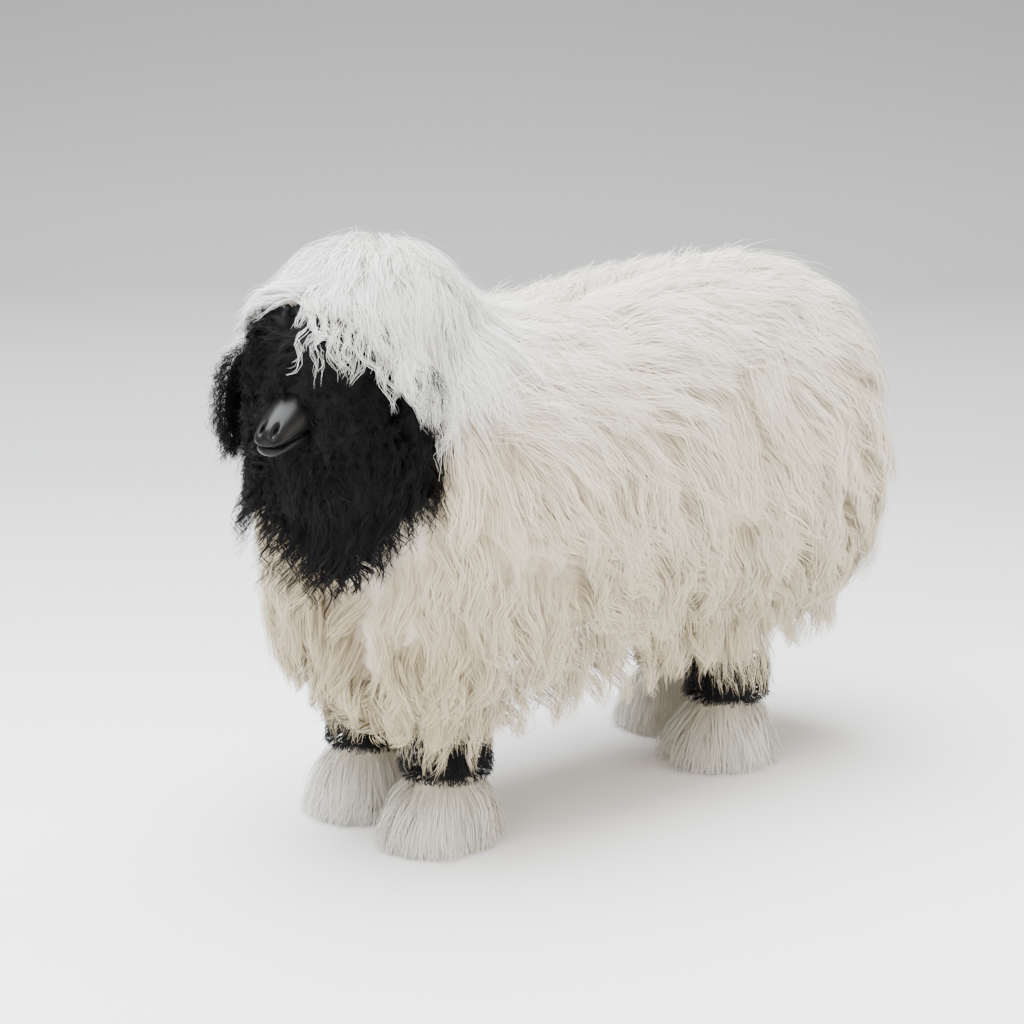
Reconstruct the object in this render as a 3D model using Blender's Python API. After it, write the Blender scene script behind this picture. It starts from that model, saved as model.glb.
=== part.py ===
"""Decorative standing sheep covered in long natural fleece: white body, black curly face, ears
and ankle bands, a smooth black muzzle, and white brush-like fringes for feet.

Metres, +Z up. +X runs towards the head and +Y towards the figure's left. The origin lies on the
floor under the middle of the figure's bounding box.

Each furred node is a closed core with flat, tapered locks fused to it. Smooth outlines give the
outer reach of the coats: the locks rise from the core to the outline and follow it along the lie.
"""

import math
import random

import bpy
import bmesh
import numpy as np
from mathutils import Matrix, Vector
from mathutils.bvhtree import BVHTree

# General sizes
GAP = 0.0003
CLEAR = 0.0025
RING_SIDES = 16
FAR = 1.0
UP = Vector((0, 0, 1))
LEFT = Vector((0, 1, 0))
FORWARD = Vector((1, 0, 0))

# Torso outline from rump to chest: place along X, top, bottom, half width
TORSO_STATIONS = (
    (-0.266, 0.258, 0.190, 0.020),
    (-0.258, 0.300, 0.120, 0.060),
    (-0.234, 0.338, 0.090, 0.094),
    (-0.178, 0.360, 0.082, 0.113),
    (-0.100, 0.360, 0.089, 0.119),
    (-0.015, 0.353, 0.087, 0.119),
    (0.060, 0.346, 0.076, 0.118),
    (0.125, 0.333, 0.070, 0.115),
    (0.165, 0.314, 0.071, 0.109),
    (0.190, 0.290, 0.082, 0.097),
    (0.203, 0.262, 0.105, 0.074),
    (0.208, 0.230, 0.150, 0.030),
)
TORSO_RINGS = 15
TORSO_CORE_DEPTH = 0.012
TORSO_BELLY_DEPTH = 0.028
BELLY_FRINGE = 0.067
SKIRT_FLOOR = 0.072

# The four legs: where each stands; the rear right one is set back
LEG_PLACES = {
    "front_left": (0.134, 0.042),
    "front_right": (0.134, -0.042),
    "rear_left": (-0.125, 0.042),
    "rear_right": (-0.153, -0.042),
}
LEG_TOP = 0.118
LEG_RADIUS = 0.027
LEG_REACH = 0.043
LEG_LOCKS = 7
LEG_SHAG_TOP = 0.106
LEG_SHAG_BOTTOM = 0.061
CUFF_TOP = 0.075
CUFF_RADIUS = 0.026
CUFF_REACH = 0.0315
CUFF_CLUMPS = 7
FOOT_TOP = 0.046
FOOT_TOP_RADIUS = 0.025
FOOT_LOCKS = 10
SOLE_RADII = (0.042, 0.037)
SOLE_FORWARD = 0.006

# Head: centre of the skull and its turn to the figure's left
HEAD_CENTRE = Vector((0.1875, 0.005, 0.313))
HEAD_YAW = math.radians(25)
CROWN_CENTRE = Vector((-0.030, 0, 0.011))
CROWN_RADII = Vector((0.088, 0.078, 0.080))
CROWN_DEPTH = 0.011

# Face and beard outline in the head's axes: height, middle, half depth, half width, shift to the
# figure's left
FACE_STATIONS = (
    (0.062, 0.024, 0.020, 0.026, 0.000),
    (0.050, 0.020, 0.035, 0.044, 0.000),
    (0.025, 0.018, 0.050, 0.055, 0.001),
    (-0.005, 0.017, 0.056, 0.060, 0.004),
    (-0.040, 0.016, 0.053, 0.065, 0.007),
    (-0.068, 0.019, 0.047, 0.068, 0.009),
    (-0.090, 0.024, 0.037, 0.052, 0.012),
    (-0.107, 0.028, 0.025, 0.033, 0.015),
    (-0.119, 0.030, 0.010, 0.013, 0.017),
)
# Lower edge of the beard's locks in the head's axes: place to the figure's left, height
BEARD_EDGE = ((-0.061, -0.095), (-0.042, -0.098), (-0.013, -0.113), (0.016, -0.127), (0.030, -0.124),
              (0.049, -0.107), (0.064, -0.092), (0.078, -0.080))
FACE_RINGS = 14
FACE_DEPTH = 0.006

# Parting planes, each a point and a normal that runs towards the head
TORSO_PLANE = (Vector((0.070, -0.010, 0.340)), Vector((0.80, 0.10, 0.59)))
NECK_PLANE = (Vector((0.100, -0.005, 0.352)), Vector((0.84, 0.20, 0.51)))
# The brow plane is in the head's axes and its normal runs towards the crown
BROW_PLANE = (Vector((0.053, 0, 0.048)), Vector((-0.772, 0, 0.636)))

# Neck
NECK_CENTRE = Vector((0.118, -0.004, 0.262))
NECK_RADII = Vector((0.094, 0.110, 0.094))
NECK_DEPTH = 0.018
# Full fleece between the crown and the withers, in the head's axes
NAPE_CENTRE = Vector((-0.080, 0, 0.000))
NAPE_RADII = Vector((0.060, 0.085, 0.060))

# Muzzle and lower lip in the head's axes: forward, middle, half width, height above, height below
MUZZLE_STATIONS = (
    (0.034, -0.0210, 0.0225, 0.0400, 0.0060),
    (0.056, -0.0210, 0.0195, 0.0290, 0.0050),
    (0.070, -0.0210, 0.0165, 0.0205, 0.0040),
    (0.081, -0.0210, 0.0138, 0.0135, 0.0030),
    (0.0890, -0.0212, 0.0112, 0.0088, 0.0022),
    (0.0940, -0.0214, 0.0082, 0.0058, 0.0016),
    (0.0967, -0.0218, 0.0044, 0.0029, 0.0010),
)
LIP_STATIONS = (
    (0.040, -0.0275, 0.0185, 0.0050, 0.0065),
    (0.066, -0.0270, 0.0150, 0.0042, 0.0052),
    (0.080, -0.0263, 0.0120, 0.0032, 0.0043),
    (0.0880, -0.0258, 0.0092, 0.0025, 0.0034),
    (0.0920, -0.0254, 0.0062, 0.0018, 0.0026),
    (0.0940, -0.0252, 0.0028, 0.0010, 0.0014),
)
NOSTRIL = Vector((0.0920, 0.0055, -0.0150))
NOSTRIL_RADII = Vector((0.0040, 0.0012, 0.0030))

# Left ear in the head's axes; the right one mirrors it
EAR_CENTRE = Vector((0.017, 0.0655, -0.012))
EAR_RADII = Vector((0.025, 0.0120, 0.037))
EAR_CORE_SHARE = 0.62
EAR_LEAN = math.radians(7)
EAR_STUB_TOP = Vector((0.020, 0.040, -0.018))
EAR_STUB_RADIUS = 0.007
EAR_CLEAR = 0.0085

# Tail
TAIL_ROOT = Vector((-0.236, 0, 0.285))
TAIL_OUTER = -0.2695
TAIL_STUB_RADIUS = 0.009

# Share of a lock's length in which it rises from the core to the outline
RISE_SHARE = 0.30
# Shares of the full half width and thickness at the rings of a lock, from its root to its tip
LONG_LOCK = ((0.75, 1.0), (1.0, 1.0), (0.92, 0.85), (0.58, 0.6))
SHORT_LOCK = ((0.80, 1.0), (1.0, 1.0), (0.72, 0.75))
# Share of the length, half width and thickness at the rings of a strand of a foot
FOOT_STRAND = ((0.0, 0.0065, 0.004), (0.45, 0.0095, 0.007), (1.0, 0.0095, 0.006), (1.25, 0.007, 0.004))

# Colours, linear
WHITE_WOOL = (0.80, 0.76, 0.68, 1)
BLACK_WOOL = (0.012, 0.011, 0.012, 1)
BLACK_GLOSS = (0.014, 0.013, 0.014, 1)


def clear_scene():
    for obj in list(bpy.data.objects):
        bpy.data.objects.remove(obj, do_unlink=True)


def material(name, colour, roughness):
    made = bpy.data.materials.new(name)
    made.use_nodes = True
    shader = made.node_tree.nodes["Principled BSDF"]
    shader.inputs["Base Color"].default_value = colour
    shader.inputs["Roughness"].default_value = roughness
    made.diffuse_color = colour
    return made


def catmull(points, count):
    """Rows of numbers on a smooth curve through the given rows."""
    rows = np.array(points, float)
    rows = np.vstack([2 * rows[0] - rows[1], rows, 2 * rows[-1] - rows[-2]])
    made = []
    for t in np.linspace(0, len(rows) - 3, count):
        i = min(int(t), len(rows) - 4)
        f = t - i
        a, b, c, d = rows[i : i + 4]
        made.append(0.5 * (2 * b + (c - a) * f + (2 * a - 5 * b + 4 * c - d) * f**2
                           + (3 * b - a - 3 * c + d) * f**3))
    return made


def mesh_object(name, verts, faces):
    """A triangle mesh object with its faces pointing out."""
    mesh = bpy.data.meshes.new(name)
    mesh.from_pydata([tuple(v) for v in verts], [], faces)
    bm = bmesh.new()
    bm.from_mesh(mesh)
    bmesh.ops.recalc_face_normals(bm, faces=bm.faces)
    bmesh.ops.triangulate(bm, faces=bm.faces)
    bm.to_mesh(mesh)
    bm.free()
    obj = bpy.data.objects.new(name, mesh)
    bpy.context.scene.collection.objects.link(obj)
    return obj


def loft(name, rings):
    """A closed surface through rings of equal size, with a fan at each end."""
    sides = len(rings[0])
    verts = [p for ring in rings for p in ring]
    faces = []
    for i in range(len(rings) - 1):
        for j in range(sides):
            k = (j + 1) % sides
            faces.append((i * sides + j, i * sides + k, (i + 1) * sides + k, (i + 1) * sides + j))
    for first, ring in ((0, rings[0]), ((len(rings) - 1) * sides, rings[-1])):
        verts.append(sum(ring, Vector()) / sides)
        hub = len(verts) - 1
        for j in range(sides):
            faces.append((first + j, first + (j + 1) % sides, hub))
    return mesh_object(name, verts, faces)


def ring_points(centre, across, up, half_across, half_up, half_down, sides=RING_SIDES, power=2.0):
    """Points of a round, or slightly square, ring about a centre."""
    made = []
    for j in range(sides):
        a = 2 * math.pi * j / sides
        c, s = math.cos(a), math.sin(a)
        x = math.copysign(abs(c) ** (2 / power), c) * half_across
        y = math.copysign(abs(s) ** (2 / power), s) * (half_up if s >= 0 else half_down)
        made.append(centre + across * x + up * y)
    return made


def ellipsoid(name, matrix, centre, radii, sides=RING_SIDES, rows=11):
    rings = []
    for i in range(1, rows):
        a = math.pi * i / rows
        reach = math.sin(a)
        ring = ring_points(centre - FORWARD * (math.cos(a) * radii[0]), LEFT, UP,
                           reach * radii[1], reach * radii[2], reach * radii[2], sides)
        rings.append([matrix @ p for p in ring])
    return loft(name, rings)


def column(name, x, y, profile, sides=10):
    """An upright body; profile rows are height, radius along X, radius along Y, shift along X."""
    rings = [ring_points(Vector((x + shift, y, z)), FORWARD, LEFT, rx, ry, ry, sides)
             for z, rx, ry, shift in profile]
    return loft(name, rings)


def head_matrix():
    return Matrix.Translation(HEAD_CENTRE) @ Matrix.Rotation(HEAD_YAW, 4, "Z")


def brow_plane():
    """The brow plane in the figure's axes."""
    turn = head_matrix()
    return turn @ BROW_PLANE[0], turn.to_3x3() @ BROW_PLANE[1]


def torso_shape(name, grow=0.0, belly=0.0):
    """The torso outline moved out by grow; belly lifts its underside."""
    rings = []
    for x, top, bottom, half in catmull(TORSO_STATIONS, TORSO_RINGS):
        if grow < 0 and not TORSO_STATIONS[0][0] - grow < x < TORSO_STATIONS[-1][0] + grow:
            continue
        middle = bottom + (top - bottom) * 0.52
        rings.append(ring_points(Vector((x, 0, middle)), LEFT, UP, max(half + grow, 0.01),
                                 max(top - middle + grow, 0.01),
                                 max(middle - bottom + grow - belly, 0.01), power=2.3))
    if grow > 0:
        for ring in (rings[0], rings[-1]):
            way = math.copysign(grow, ring[0].x)
            ring[:] = [p + FORWARD * way for p in ring]
    return loft(name, rings)


def grown(radii, grow):
    return radii + Vector((grow, grow, grow))


def nape_shape(grow):
    return ellipsoid("nape", head_matrix(), NAPE_CENTRE, grown(NAPE_RADII, grow))


def crown_shape(name, grow=0.0):
    made = ellipsoid(name, head_matrix(), CROWN_CENTRE, grown(CROWN_RADII, grow))
    combine(made, nape_shape(grow), "UNION")
    return made


def neck_shape(name, grow=0.0):
    made = ellipsoid(name, Matrix(), NECK_CENTRE, grown(NECK_RADII, grow))
    combine(made, nape_shape(grow), "UNION")
    return made


def face_shape(name, grow=0.0):
    turn = head_matrix()
    rings = []
    rows = catmull(FACE_STATIONS, FACE_RINGS)
    for i, (z, middle, depth, width, shift) in enumerate(rows):
        lift = grow * (1 - 2 * i / (len(rows) - 1))
        ring = ring_points(Vector((middle, shift, z + lift)), FORWARD, LEFT, max(depth + grow, 0.004),
                           max(width + grow, 0.004), max(width + grow, 0.004))
        rings.append([turn @ p for p in ring])
    return loft(name, rings)


def ear_matrix(side):
    """Places the ear, with its own Z along its length; side is 1 for the left ear."""
    centre = Vector((EAR_CENTRE.x, EAR_CENTRE.y * side, EAR_CENTRE.z))
    return head_matrix() @ Matrix.Translation(centre) @ Matrix.Rotation(EAR_LEAN * side, 4, "X")


def ear_shape(name, side, grow=0.0, share=1.0):
    radii = EAR_RADII * share + Vector((grow, grow, grow))
    return ellipsoid(name, ear_matrix(side), Vector(), radii, sides=10, rows=7)


def ear_room(side, grow):
    """The space that an ear and the hanging ends of its locks take out of what is beside it."""
    room = ear_shape("cutter", side, grow)
    place = ear_matrix(side)
    inverse = place.inverted()
    for vert in room.data.vertices:
        local = inverse @ vert.co
        local.z *= 1.25 if local.z < 0 else 1.0
        vert.co = place @ local
    return room


def rod(name, start, end, radius, sides=8):
    """A round bar between two points."""
    way = (end - start).normalized()
    across = way.orthogonal().normalized()
    up = way.cross(across)
    rings = [ring_points(p, across, up, radius, radius, radius, sides) for p in (start, end)]
    return loft(name, rings)


def ear_stub(name, side, grow=0.0):
    turn = head_matrix()
    inner = Vector((EAR_STUB_TOP.x, EAR_STUB_TOP.y * side, EAR_STUB_TOP.z))
    outer = Vector((EAR_CENTRE.x, EAR_CENTRE.y * side, EAR_STUB_TOP.z - 0.002))
    start, end = turn @ inner, turn @ outer
    start -= (end - start).normalized() * grow
    return rod(name, start, end, EAR_STUB_RADIUS + grow)


def muzzle_loft(name, stations, rings, grow=0.0, sides=12):
    turn = head_matrix()
    made = []
    for x, z, half, top, bottom in catmull(stations, rings):
        ring = ring_points(Vector((x, 0, z)), LEFT, UP, half + grow, top + grow, bottom + grow,
                           sides, power=2.15)
        made.append([turn @ p for p in ring])
    if grow:
        back = turn.to_3x3() @ FORWARD * -grow
        made[0] = [p + back for p in made[0]]
    return loft(name, made)


def bake_modifiers(obj):
    graph = bpy.context.evaluated_depsgraph_get()
    mesh = bpy.data.meshes.new_from_object(obj.evaluated_get(graph))
    obj.modifiers.clear()
    obj.data = mesh


def combine(obj, other, operation):
    """Cuts obj by another object, or joins the two; the other object is removed."""
    modifier = obj.modifiers.new("combine", "BOOLEAN")
    modifier.operation = operation
    modifier.solver = "MANIFOLD"
    modifier.object = other
    bake_modifiers(obj)
    bpy.data.objects.remove(other, do_unlink=True)


def cut(obj, *cutters):
    for cutter in cutters:
        combine(obj, cutter, "DIFFERENCE")


def keep_side(obj, plane, side):
    """Keeps the part of obj in front of a plane (side 1) or behind it (side -1), less half a gap."""
    point, normal = plane
    away = normal.normalized() * -side
    turn = away.to_track_quat("Z", "Y").to_matrix().to_4x4()
    place = Matrix.Translation(point - away * (GAP / 2)) @ turn
    corners = [place @ Vector((x, y, z)) for z in (0, FAR) for x, y in
               ((-FAR, -FAR), (FAR, -FAR), (FAR, FAR), (-FAR, FAR))]
    faces = [(0, 1, 2, 3), (4, 5, 6, 7), (0, 1, 5, 4), (1, 2, 6, 5), (2, 3, 7, 6), (3, 0, 4, 7)]
    cut(obj, mesh_object("cutter", corners, faces))


def fuse(core, pieces):
    """One Boolean union of a core with its closed pieces."""
    group = bpy.data.collections.new("pieces")
    for piece in pieces:
        group.objects.link(piece)
    modifier = core.modifiers.new("union", "BOOLEAN")
    modifier.operation = "UNION"
    modifier.operand_type = "COLLECTION"
    modifier.solver = "MANIFOLD"
    modifier.collection = group
    bake_modifiers(core)
    for piece in pieces:
        bpy.data.objects.remove(piece, do_unlink=True)
    bpy.data.collections.remove(group)


def keep_largest(obj):
    """Drops every loose surface but the largest."""
    bm = bmesh.new()
    bm.from_mesh(obj.data)
    bm.faces.ensure_lookup_table()
    seen, groups = set(), []
    for face in bm.faces:
        if face.index in seen:
            continue
        seen.add(face.index)
        group, queue = [], [face]
        while queue:
            current = queue.pop()
            group.append(current)
            for edge in current.edges:
                for other in edge.link_faces:
                    if other.index not in seen:
                        seen.add(other.index)
                        queue.append(other)
        groups.append(group)
    groups.sort(key=lambda g: sum(f.calc_area() for f in g), reverse=True)
    for group in groups[1:]:
        bmesh.ops.delete(bm, geom=group, context="FACES")
    bmesh.ops.delete(bm, geom=[v for v in bm.verts if not v.link_faces], context="VERTS")
    bm.to_mesh(obj.data)
    bm.free()


class Outline:
    """A closed surface that a coat follows, and that other coats keep clear of."""

    def __init__(self, obj):
        obj.data.calc_loop_triangles()
        verts = [obj.matrix_world @ v.co for v in obj.data.vertices]
        faces = [tuple(t.vertices) for t in obj.data.loop_triangles]
        self.tree = BVHTree.FromPolygons(verts, faces)
        self.corners = np.array(verts)[np.array(faces)]
        edges = self.corners[:, 1:] - self.corners[:, :1]
        self.areas = np.linalg.norm(np.cross(edges[:, 0], edges[:, 1]), axis=1) / 2
        bpy.data.objects.remove(obj, do_unlink=True)

    def nearest(self, point):
        place, normal, _, _ = self.tree.find_nearest(point)
        return place, normal

    def height(self, point):
        """Distance outside the surface, negative inside it, and the way out."""
        place, normal = self.nearest(point)
        offset = point - place
        if offset.length < 1e-6:
            return 0.0, normal
        sign = 1 if offset.dot(normal) >= 0 else -1
        return sign * offset.length, sign * offset.normalized()

    def scatter(self, spacing, seed, wanted):
        """Evenly spread points, no two closer than spacing, where wanted(point, normal) holds."""
        rng = np.random.default_rng(seed)
        tries = int(self.areas.sum() / spacing**2 * 40)
        chosen = rng.choice(len(self.areas), tries, p=self.areas / self.areas.sum())
        kept = []
        for index, (u, v) in zip(chosen, rng.random((tries, 2))):
            if u + v > 1:
                u, v = 1 - u, 1 - v
            a, b, c = self.corners[index]
            point = Vector(a + u * (b - a) + v * (c - a))
            normal = self.nearest(point)[1]
            if wanted(point, normal) and all((point - k).length > spacing for k in kept):
                kept.append(point)
        return kept


def clear_of(ring, half_width, avoid):
    """Moves a lock's ring out of every outline in avoid."""
    centre, side, normal = ring
    for other in avoid:
        worst, out = 1.0, None
        for shift in (-half_width, 0, half_width):
            height, way_out = other.height(centre + side * shift)
            if height < worst:
                worst, out = height, way_out
        if worst < CLEAR + 0.001:
            centre = centre + out * (CLEAR + 0.001 - worst)
    return centre, side, normal


def lock_mesh(rings, half_width, thickness, shape):
    """A closed tapered blade through rings of centre, side and outward normal."""
    verts, faces = [], []
    for (centre, side, normal), (w, t) in zip(rings, shape):
        verts += [centre + side * (w * half_width), centre + normal * (t * thickness),
                  centre - side * (w * half_width)]
    verts.append(rings[-1][0])
    for i in range(len(shape) - 1):
        for j in range(3):
            k = (j + 1) % 3
            faces.append((3 * i + j, 3 * i + k, 3 * i + 3 + k, 3 * i + 3 + j))
    last = 3 * len(shape) - 3
    faces += [(last + j, last + (j + 1) % 3, last + 3) for j in range(3)]
    faces.append((0, 1, 2))
    return mesh_object("lock", verts, faces)


def lock(outline, root, lie, length, half_width, thickness, depth, rng, avoid=(), flick=0.001,
         wave=0.0, floor=0.0, sway=0.2, shape=LONG_LOCK):
    """A flat tapered lock. It starts inside the core, rises to the outline and follows it along
    the lie; where the outline turns under, it falls free."""
    steps = len(shape)
    stride = length / steps
    place, normal = outline.nearest(root)
    turn = rng.uniform(-sway, sway)
    phase = rng.uniform(0, 6.28)
    falling = False
    rings = []
    for i in range(steps + 1):
        share = i / steps
        way = lie(place, normal)
        if not falling:
            way = (way - normal * way.dot(normal)).normalized()
            way.rotate(Matrix.Rotation(turn, 3, normal))
        side = way.cross(normal).normalized()
        rise = min(share / RISE_SHARE, 1.0)
        sunk = depth * (1 - rise) ** 1.5 + thickness - flick * share**2 - thickness * 0.8 * share**2
        centre = place - normal * sunk + side * (wave * math.sin(share * 6 + phase) * share)
        rings.append((centre, side, normal.copy()))
        falling = falling or (normal.z < -0.35 and way.z < -0.2)
        if falling:
            place = place + Vector((way.x * 0.15, way.y * 0.15, -1)).normalized() * stride
            normal = Vector((normal.x, normal.y, 0.001)).normalized()
        else:
            place, normal = outline.nearest(place + way * stride)
    moved = [rings[0]]
    for ring in rings[1:]:
        centre, side, normal = clear_of(ring, half_width, avoid)
        moved.append((Vector((centre.x, centre.y, max(centre.z, floor + 0.003))), side, normal))
    return lock_mesh(moved, half_width, thickness, shape)


def hanging_lock(top, out, length, half_width, thickness, lean=0.0, curve=0.0, splay=0.0):
    """A flat tapered lock that hangs down from a point; out is the way its ridge faces."""
    side = UP.cross(out).normalized()
    rings = []
    for i in range(len(SHORT_LOCK) + 1):
        share = i / len(SHORT_LOCK)
        centre = (top - UP * (length * share) + out * (lean * share - curve * share**2)
                  + LEFT * (splay * share))
        rings.append((centre, side, out))
    return lock_mesh(rings, half_width, thickness, SHORT_LOCK)


def clump(centre, out, half_width, half_height, half_depth, sides=5):
    """A small rounded tuft of 20 triangles."""
    side = UP.cross(out).normalized()
    verts = []
    for rise in (-0.5, 0.5):
        for k in range(sides):
            a = 2 * math.pi * k / sides + math.pi / 2
            verts.append(centre + UP * (rise * half_height) + side * (math.cos(a) * half_width)
                         + out * (math.sin(a) * half_depth))
    verts += [centre - UP * half_height, centre + UP * half_height]
    faces = []
    for j in range(sides):
        k = (j + 1) % sides
        faces += [(j, k, sides + k, sides + j), (j, k, 2 * sides), (sides + j, sides + k, 2 * sides + 1)]
    return mesh_object("clump", verts, faces)


def front_of(plane, point):
    return (point - plane[0]).dot(plane[1].normalized())


def body_lie(place, normal):
    """Back and down along the flanks, parting along the spine, and down at the chest."""
    back = 0.25 + 0.75 * min(max((place.z - 0.10) / 0.22, 0), 1)
    if normal.x > 0.6:
        back = 0.0
    aside = 0.55 * math.copysign(1, place.y) * max(normal.z, 0)
    return Vector((-back, aside, -0.9 - 0.2 * (1 - abs(normal.z))))


def leg_socket(x, y):
    """The space that a leg and its shag take out of the torso."""
    wide, narrow = LEG_REACH + CLEAR, LEG_RADIUS + GAP
    profile = ((0.03, wide, wide, 0), (LEG_SHAG_TOP + CLEAR, wide, wide, 0),
               (LEG_SHAG_TOP + CLEAR + 0.0005, narrow, narrow, 0), (LEG_TOP + GAP, narrow, narrow, 0))
    return column("cutter", x, y, profile)


def belly_locks(rng):
    """Locks that hang from the underside between and around the legs."""
    made = []
    for row in range(9):
        x = -0.205 + row * 0.047
        for y in (-0.066, -0.022, 0.022, 0.066):
            out = Vector((0.2 * rng.uniform(-1, 1), math.copysign(1, y), 0.001)).normalized()
            top = Vector((x + rng.uniform(-0.008, 0.008), y + rng.uniform(-0.005, 0.005), 0.112))
            beside_leg = any(abs(top.x - leg_x) < LEG_REACH + 0.02 and abs(y - leg_y) < 0.06
                             for leg_x, leg_y in LEG_PLACES.values())
            if not beside_leg:
                made.append(hanging_lock(top, out, 0.112 - BELLY_FRINGE, 0.018, 0.010))
    return made


def build_torso(outlines):
    rng = random.Random(11)
    core = torso_shape("torso", -TORSO_CORE_DEPTH, TORSO_BELLY_DEPTH - TORSO_CORE_DEPTH)

    def wanted(point, normal):
        return front_of(TORSO_PLANE, point) < 0.002 and normal.z > -0.70

    roots = outlines["torso"].scatter(0.056, 4, wanted)
    roots += outlines["torso"].scatter(0.042, 6, lambda point, normal: (
        wanted(point, normal) and (abs(normal.x) > 0.75 or front_of(TORSO_PLANE, point) > -0.025)
        and all((point - r).length > 0.032 for r in roots)))
    pieces = []
    for root in roots:
        chest = root.x > 0.185 or front_of(TORSO_PLANE, root) > -0.012
        length = 0.060 if chest else rng.uniform(0.085, 0.102)
        half_width = 0.018 if chest else rng.uniform(0.022, 0.027)
        shape = SHORT_LOCK if chest else LONG_LOCK
        pieces.append(lock(outlines["torso"], root, body_lie, length, half_width, 0.009,
                           TORSO_CORE_DEPTH + 0.006, rng, wave=0.003, floor=SKIRT_FLOOR,
                           shape=shape))
    fuse(core, pieces + belly_locks(rng))
    keep_side(core, TORSO_PLANE, -1)
    for x, y in LEG_PLACES.values():
        cut(core, leg_socket(x, y))
    cut(core, tail_stub("cutter", GAP))
    keep_largest(core)
    return core


def build_neck(outlines):
    rng = random.Random(12)
    core = neck_shape("neck", -NECK_DEPTH)

    def wanted(point, normal):
        return (-0.055 < front_of(NECK_PLANE, point) < 0.0 and normal.x > -0.9
                and front_of(TORSO_PLANE, point) > 0.0 and point.z > 0.175)

    roots = outlines["neck"].scatter(0.029, 6, wanted)
    pieces = [lock(outlines["neck"], root, body_lie, 0.060, 0.019, 0.009, NECK_DEPTH + 0.006, rng,
                   wave=0.002, shape=SHORT_LOCK)
              for root in roots]
    fuse(core, pieces)
    keep_side(core, TORSO_PLANE, 1)
    keep_side(core, NECK_PLANE, -1)
    keep_largest(core)
    return core


def crown_lie(place, normal):
    """Away from a parting at the brow, and back over the nape."""
    turn = head_matrix()
    local = turn.inverted() @ place
    aside = math.copysign(1, local.y + 0.004)
    if local.x > 0.022 and abs(local.y) < 0.045:
        way = Vector((0.6, 0.55 * aside, -0.85))
    elif local.x > -0.030:
        way = Vector((0.30, 1.0 * aside, -0.75))
    else:
        way = Vector((-0.9, 0.25 * aside, -0.45))
    return turn.to_3x3() @ way


def build_crown(outlines):
    rng = random.Random(13)
    core = crown_shape("crown", -CROWN_DEPTH)
    keep_side(core, brow_plane(), 1)

    def wanted(point, normal):
        return front_of(brow_plane(), point) > 0.004 and front_of(NECK_PLANE, point) > 0.0

    avoid = [outlines["face"], outlines["ear_left"], outlines["ear_right"]]
    roots = outlines["crown"].scatter(0.0345, 14, wanted)
    local = head_matrix().inverted()
    roots += outlines["crown"].scatter(0.020, 8, lambda point, normal: (
        wanted(point, normal) and front_of(brow_plane(), point) < 0.016 and (local @ point).x > 0.015
        and all((point - r).length > 0.014 for r in roots)))
    pieces = []
    for root in roots:
        spot = local @ root
        brow = spot.x > 0.022 and abs(spot.y) < 0.045
        fringe = spot.x > -0.030
        side_length = 0.094 if spot.y > 0 else 0.078
        length = 0.042 if brow else side_length if fringe else 0.060
        pieces.append(lock(outlines["crown"], root, crown_lie, length, 0.0125 if fringe else 0.019,
                           0.0065, CROWN_DEPTH + 0.005, rng, avoid, wave=0.003, flick=-0.001,
                           shape=LONG_LOCK if length > 0.07 else SHORT_LOCK))
    fuse(core, pieces)
    keep_side(core, NECK_PLANE, 1)
    face = face_shape("cutter", CLEAR)
    keep_side(face, brow_plane(), -1)
    cut(core, face)
    for side in (1, -1):
        cut(core, ear_room(side, EAR_CLEAR), ear_stub("cutter", side, GAP))
    keep_largest(core)
    return core


def face_lie(place, normal):
    """Down, spreading a little from the bridge of the nose."""
    turn = head_matrix()
    local = turn.inverted() @ place
    spread = 0.6 * min(max(local.y / 0.04, -1), 1) * max(normal.dot(turn.to_3x3() @ FORWARD), 0)
    return turn.to_3x3() @ Vector((0.05, spread, -1))


def beard_edge(aside):
    return float(np.interp(aside, *zip(*BEARD_EDGE)))


def build_head(outlines):
    rng = random.Random(14)
    core = face_shape("head", -FACE_DEPTH)
    local = head_matrix().inverted()

    def wanted(point, normal):
        return front_of(brow_plane(), point) < -0.004 and front_of(NECK_PLANE, point) > 0.006

    pieces = []
    for root in outlines["face_whole"].scatter(0.0265, 8, wanted):
        spot = local @ root
        bridge = abs(spot.y) < 0.022 and spot.z > -0.01
        length = 0.030 if bridge else rng.uniform(0.045, 0.058)
        length = min(length, max(spot.z - beard_edge(spot.y), 0.020))
        pieces.append(lock(outlines["face_whole"], root, face_lie, length, 0.0095, 0.0045,
                           FACE_DEPTH + 0.004, rng, wave=0.004, sway=0.3, shape=SHORT_LOCK))
    fuse(core, pieces)
    keep_side(core, brow_plane(), -1)
    keep_side(core, NECK_PLANE, 1)
    torso = torso_shape("cutter", CLEAR)
    keep_side(torso, TORSO_PLANE, -1)
    cut(core, torso, muzzle_loft("cutter", MUZZLE_STATIONS, 9, GAP),
        muzzle_loft("cutter", LIP_STATIONS, 7, GAP))
    for side in (1, -1):
        cut(core, ear_room(side, 0.003), ear_stub("cutter", side, GAP))
    keep_largest(core)
    return core


def build_muzzle():
    core = muzzle_loft("muzzle", MUZZLE_STATIONS, 9)
    combine(core, muzzle_loft("lip", LIP_STATIONS, 7), "UNION")
    for side in (1, -1):
        turn = head_matrix() @ Matrix.Translation(Vector((NOSTRIL.x, NOSTRIL.y * side, NOSTRIL.z)))
        cut(core, ellipsoid("cutter", turn, Vector(), NOSTRIL_RADII, sides=8, rows=6))
    keep_largest(core)
    return core


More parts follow.
